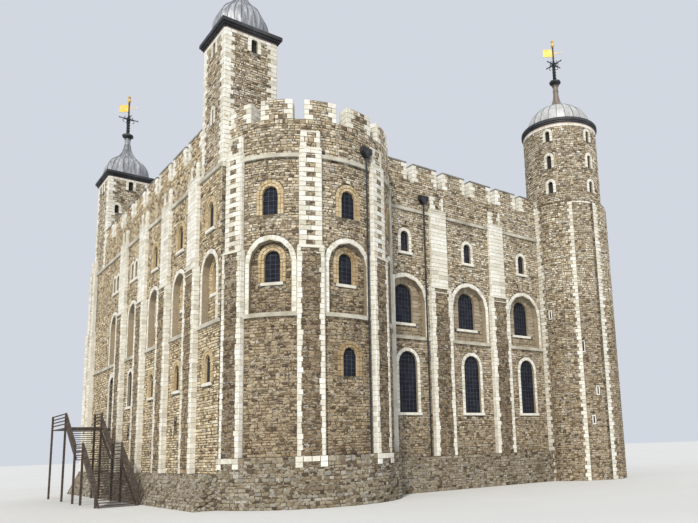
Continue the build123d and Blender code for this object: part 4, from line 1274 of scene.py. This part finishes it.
# Sides, inset, foot, top, radius and turn of the shoulder, then top of the flare and of the neck
cupolas = {
    "square": (8, 0.008, 0.060, 0.222, 0.104, 56.0, 0.405, 0.447),
    "round": (24, 0.042, 0.020, 0.262, 0.070, 66.0, 0.415, 0.485),
}
neck_radius = 0.024
flare_turn = 50.0
lead_skin = 0.0004
roll_height = 0.0030
turret_axes = {corner: (*square, turret_top, "square") for corner, square in square_turrets.items()}
turret_axes["northeast"] = (round_x, round_y, drum_radius, drum_top, "round")
# Lead of the dome and of the neck
leads = {
    "square": (Shell("square_cupola_lead", "lead"), Shell("square_cupola_necks", "lead")),
    "round": (Shell("round_cupola_lead", "pale_lead"), Shell("round_cupola_neck", "neck")),
}
roll_places = {"square": (-1.0, -1 / 3, 1 / 3), "round": (-1.0,)}
rolls = Shell("lead_rolls", "seam")
for corner, (cx, cy, half, top, kind) in turret_axes.items():
    sides, inset, foot, shoulder_top, shoulder_radius, shoulder_turn, flare_top, neck_top = cupolas[kind]
    base = top + cornice_height
    radius = half - inset
    shoulder = [(radius, 0.0)] + bend(radius, foot, shoulder_radius, shoulder_top, shoulder_turn)
    flare = bend(neck_radius, flare_top, shoulder_radius, shoulder_top, flare_turn)[::-1]
    flare.append((neck_radius, neck_top))
    for shell, outline in zip(leads[kind], (shoulder, flare)):
        profile = [((r + lead_skin) / math.cos(math.pi / sides), z) for r, z in outline]
        shell.grid(turned(cx, cy, base, profile, sides, math.pi / sides))
    profile = shoulder[1:] + (flare[1:-2] if kind == "square" else [])
    for k in range(sides):
        a = 2 * math.pi * k / sides
        n, t = Vector((math.cos(a), math.sin(a), 0)), Vector((-math.sin(a), math.cos(a), 0))
        for share in roll_places[kind]:
            rows = []
            for r, z in profile:
                sideways = t * share * r * math.tan(math.pi / sides)
                middle = Vector((cx, cy, base + z)) + n * (r + lead_skin) + sideways
                wide = t * 0.0030 * (0.5 + 0.5 * r / radius)
                crest = middle + n * roll_height + upward(0.0015)
                rows.append([middle - wide, crest - wide * 0.5, crest + wide * 0.5, middle + wide])
            rolls.grid(rows, False)
    # Beads round the neck
    for z, r, height in ((neck_top - 0.006, 0.031, 0.010), (neck_top - 0.060, 0.028, 0.008)):
        bead = ((neck_radius, 0.0), (r, height * 0.3), (r, height * 0.7), (neck_radius, height))
        leads[kind][1].grid(turned(cx, cy, base + z, bead, 16))
square_lead, square_necks = leads["square"]
round_lead, round_neck = leads["round"]
for shell in (square_lead, round_lead, square_necks, round_neck):
    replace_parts(shell.finish_piece(), "turret_domes")
rolls.finish_piece()

# A painted band where each cornice meets its wall
soffit = Blocks("cornice_soffits", "soffit")
band_out = 0.0060
for cx, cy, half, top, kind in turret_axes.values():
    band = (top - 0.0045, top - 0.0002, -0.002, band_out)
    if kind == "square":
        for angle in (-90, 0, 90, 180):
            soffit.box(radial_face(cx, cy, angle, half), -half - band_out, half + band_out, *band)
    else:
        for a, b in parts(-half_way, half_way, 60):
            soffit.box(drum_face, a, b, *band)
soffit.finish_piece()

# Rolls over the joints of the lead on the twin roof
low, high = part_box("main_roof")
roof_rolls = Shell("roof_rolls", "seam")
quarter = (high.x - low.x) / 4
eaves, ridge = high.z - 0.150, high.z
count = round((high.y - low.y) / 0.075)
for index in range(1, count):
    y = low.y + (high.y - low.y) * index / count
    for bay in range(4):
        x0, x1 = low.x + bay * quarter + 0.012, low.x + (bay + 1) * quarter - 0.006
        z0, z1 = (eaves, ridge) if bay % 2 == 0 else (ridge, eaves)
        roof_rolls.tube([(x0, y, z0 + 0.002), (x1, y, z1 + 0.002)], 0.0035)
for bay in (1, 3):
    x = low.x + bay * quarter
    roof_rolls.tube([(x, low.y + 0.01, ridge + 0.001), (x, high.y - 0.01, ridge + 0.001)], 0.0060, 6)
roof_rolls.finish_piece()

# Ironwork round the foot of each vane, and the vane itself
strand_radius, strand_foot, strand_height, strand_steps = 0.0135, 0.034, 0.150, 32
arm_height = 0.190
vane_seat = 0.4203
scroll_steps = 18
# Radius and height of the sleeve and crown, from the seat of the vane
sleeve_foot = arm_height + 0.030 - vane_seat
sleeve_profile = (
    (0.0072, sleeve_foot), (0.0100, sleeve_foot),
    (0.0100, sleeve_foot + 0.008), (0.0078, sleeve_foot + 0.012),
    (0.0076, -0.168), (0.0098, -0.160), (0.0076, -0.152), (0.0076, -0.070), (0.0098, -0.062),
    (0.0076, -0.055), (0.0070, 0.0),
)
crown_profile = (
    (0.0070, -0.050), (0.0125, -0.046), (0.0165, -0.040), (0.0180, -0.034), (0.0165, -0.028),
    (0.0125, -0.022), (0.0075, -0.018), (0.0080, -0.006), (0.013, 0.0), (0.0145, 0.004),
    (0.0120, 0.007), (0.0155, 0.012), (0.0125, 0.0165), (0.0040, 0.0195), (0.0005, 0.0198),
)
flag_far, flag_near, flag_height = -0.095, -0.0075, 0.078
plate_half, frame_half = 0.0014, 0.0020
flag_drop, flag_rim = 0.072, 0.005
pointer_near, pointer_far, pointer_half = 0.0075, 0.078, 0.0030
tip_near, tip_far, tip_half, tip_steps = 0.072, 0.0945, 0.0115, 5
scroll_sizes = ((-1, 0.026), (1, 0.017))
arm_length = 0.086
iron = Shell("spindle_ironwork", "iron")
tips = Shell("arm_tips", "pale_iron")
vane_heading = math.radians(50.0)
heading = (math.cos(vane_heading), math.sin(vane_heading))
across = (math.sin(vane_heading), -math.cos(vane_heading))
for corner, (cx, cy, half, top, kind) in turret_axes.items():
    ball = top + cornice_height + cupolas[kind][7] + 0.039
    axis = Vector((cx, cy, 0))
    # Twisted strands up the bar
    for start in range(4):
        path = []
        for step in range(strand_steps + 1):
            a = math.pi / 2 * start + math.pi * 2.5 * step / strand_steps
            height = ball + strand_foot + strand_height * step / strand_steps
            path.append(axis + Vector((strand_radius * math.cos(a), strand_radius * math.sin(a), height)))
        iron.tube(path, 0.0042)
    # A scroll under and over each arm, and a pointed tip at its end
    for quarter in range(4):
        a = math.pi / 2 * quarter
        n = Vector((math.cos(a), math.sin(a), 0))
        arm = axis + upward(ball + arm_height)
        for sign, size in scroll_sizes:
            centre = arm + n * (0.012 + size) + upward(sign * size)
            path = []
            for step in range(scroll_steps + 1):
                turn = 1.5 * math.pi * step / scroll_steps
                r = size * (1 - 0.55 * step / scroll_steps)
                path.append(centre - n * r * math.cos(turn) - upward(sign * r * math.sin(turn) * 0.9))
            iron.tube(path, 0.0030)
        end = arm + n * arm_length
        for rise in (-1, 1):
            bow = [end - n * 0.010, end + upward(rise * 0.012) - n * 0.002, end + n * 0.0088]
            tips.tube(bow, (0.002, 0.0028, 0.0012), 4)
    # Vane, on the frame's own sleeve, flag and pointer
    body = f"{corner}_vane_body"
    seat = ball + vane_seat
    sleeve = Shell(f"{corner}_vane_sleeve", "iron", body)
    sleeve.grid(turned(cx, cy, seat, sleeve_profile, 12))
    crown = Shell(f"{corner}_vane_crown", "gold", body)
    crown.grid(turned(cx, cy, seat, crown_profile, 12))
    flag = Blocks(f"{corner}_vane_flag", "gold", body)
    plate = Flat(axis, heading, across)
    flag_top = seat - flag_drop
    flag_foot = flag_top - flag_height
    flag.box(plate, flag_far, flag_near, flag_foot, flag_top, -plate_half, plate_half)
    for low, high in ((flag_foot, flag_foot + flag_rim), (flag_top - flag_rim, flag_top)):
        flag.box(plate, flag_far, flag_near, low, high, -frame_half, frame_half)
    flag.box(plate, flag_far, flag_far + flag_rim, flag_foot, flag_top, -frame_half, frame_half)
    middle = flag_top - flag_height / 2
    pointer = (middle - pointer_half, middle + pointer_half)
    flag.box(plate, pointer_near, pointer_far, *pointer, -frame_half, frame_half)
    tip = Blocks(f"{corner}_vane_tip", "pale_iron", body)
    for step, (u0, u1) in enumerate(parts(tip_near, tip_far, tip_steps)):
        reach = tip_half * (1 - step / tip_steps) + 0.001
        tip.box(plate, u0, u1, middle - reach, middle + reach, -frame_half, frame_half)
    for piece in (sleeve, crown, flag, tip):
        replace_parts(piece.finish_piece(), f"{corner}_vane")
iron.finish_piece()
tips.finish_piece()

# Floor, light and camera
floor_half = 60.0
floor_mesh = bpy.data.meshes.new("floor")
floor_corners = rectangle(-floor_half, floor_half, -floor_half, floor_half)
floor_mesh.from_pydata([(x, y, 0) for x, y in floor_corners], [], [(0, 1, 2, 3)])
floor_mesh.materials.append(mat["pale_floor"])
floor = linked("floor", floor_mesh)

world = bpy.data.worlds.new("studio")
bpy.context.scene.world = world
world.use_nodes = True
background = world.node_tree.nodes["Background"]
background.inputs["Color"].default_value = (0.86, 0.91, 1.0, 1.0)
background.inputs["Strength"].default_value = 0.75

sun_data = bpy.data.lights.new("key", "SUN")
sun_data.energy = 2.9
sun_data.angle = 0.12
sun_data.color = (1.0, 0.96, 0.88)
sun_from = Vector((0.84, -0.86, 0.95))
linked("key", sun_data).rotation_euler = sun_from.to_track_quat("Z", "Y").to_euler()

camera_place = Vector((5.185, -3.058, 0.308))
yaw, pitch, roll = 50.5, 9.56, -2.02
camera_data = bpy.data.cameras.new("camera")
camera_data.sensor_width = 36.0
camera_data.lens = 34.32
camera_data.shift_x = -0.1225
camera_data.shift_y = 0.1057
camera = linked("camera", camera_data)
camera.matrix_world = Matrix.Translation(camera_place)
for angle, axis in ((yaw, "Z"), (90.0 + pitch, "X"), (roll, "Z")):
    camera.matrix_world = camera.matrix_world @ Matrix.Rotation(math.radians(angle), 4, axis)
bpy.context.scene.camera = camera

bpy.context.scene.view_settings.view_transform = "Standard"
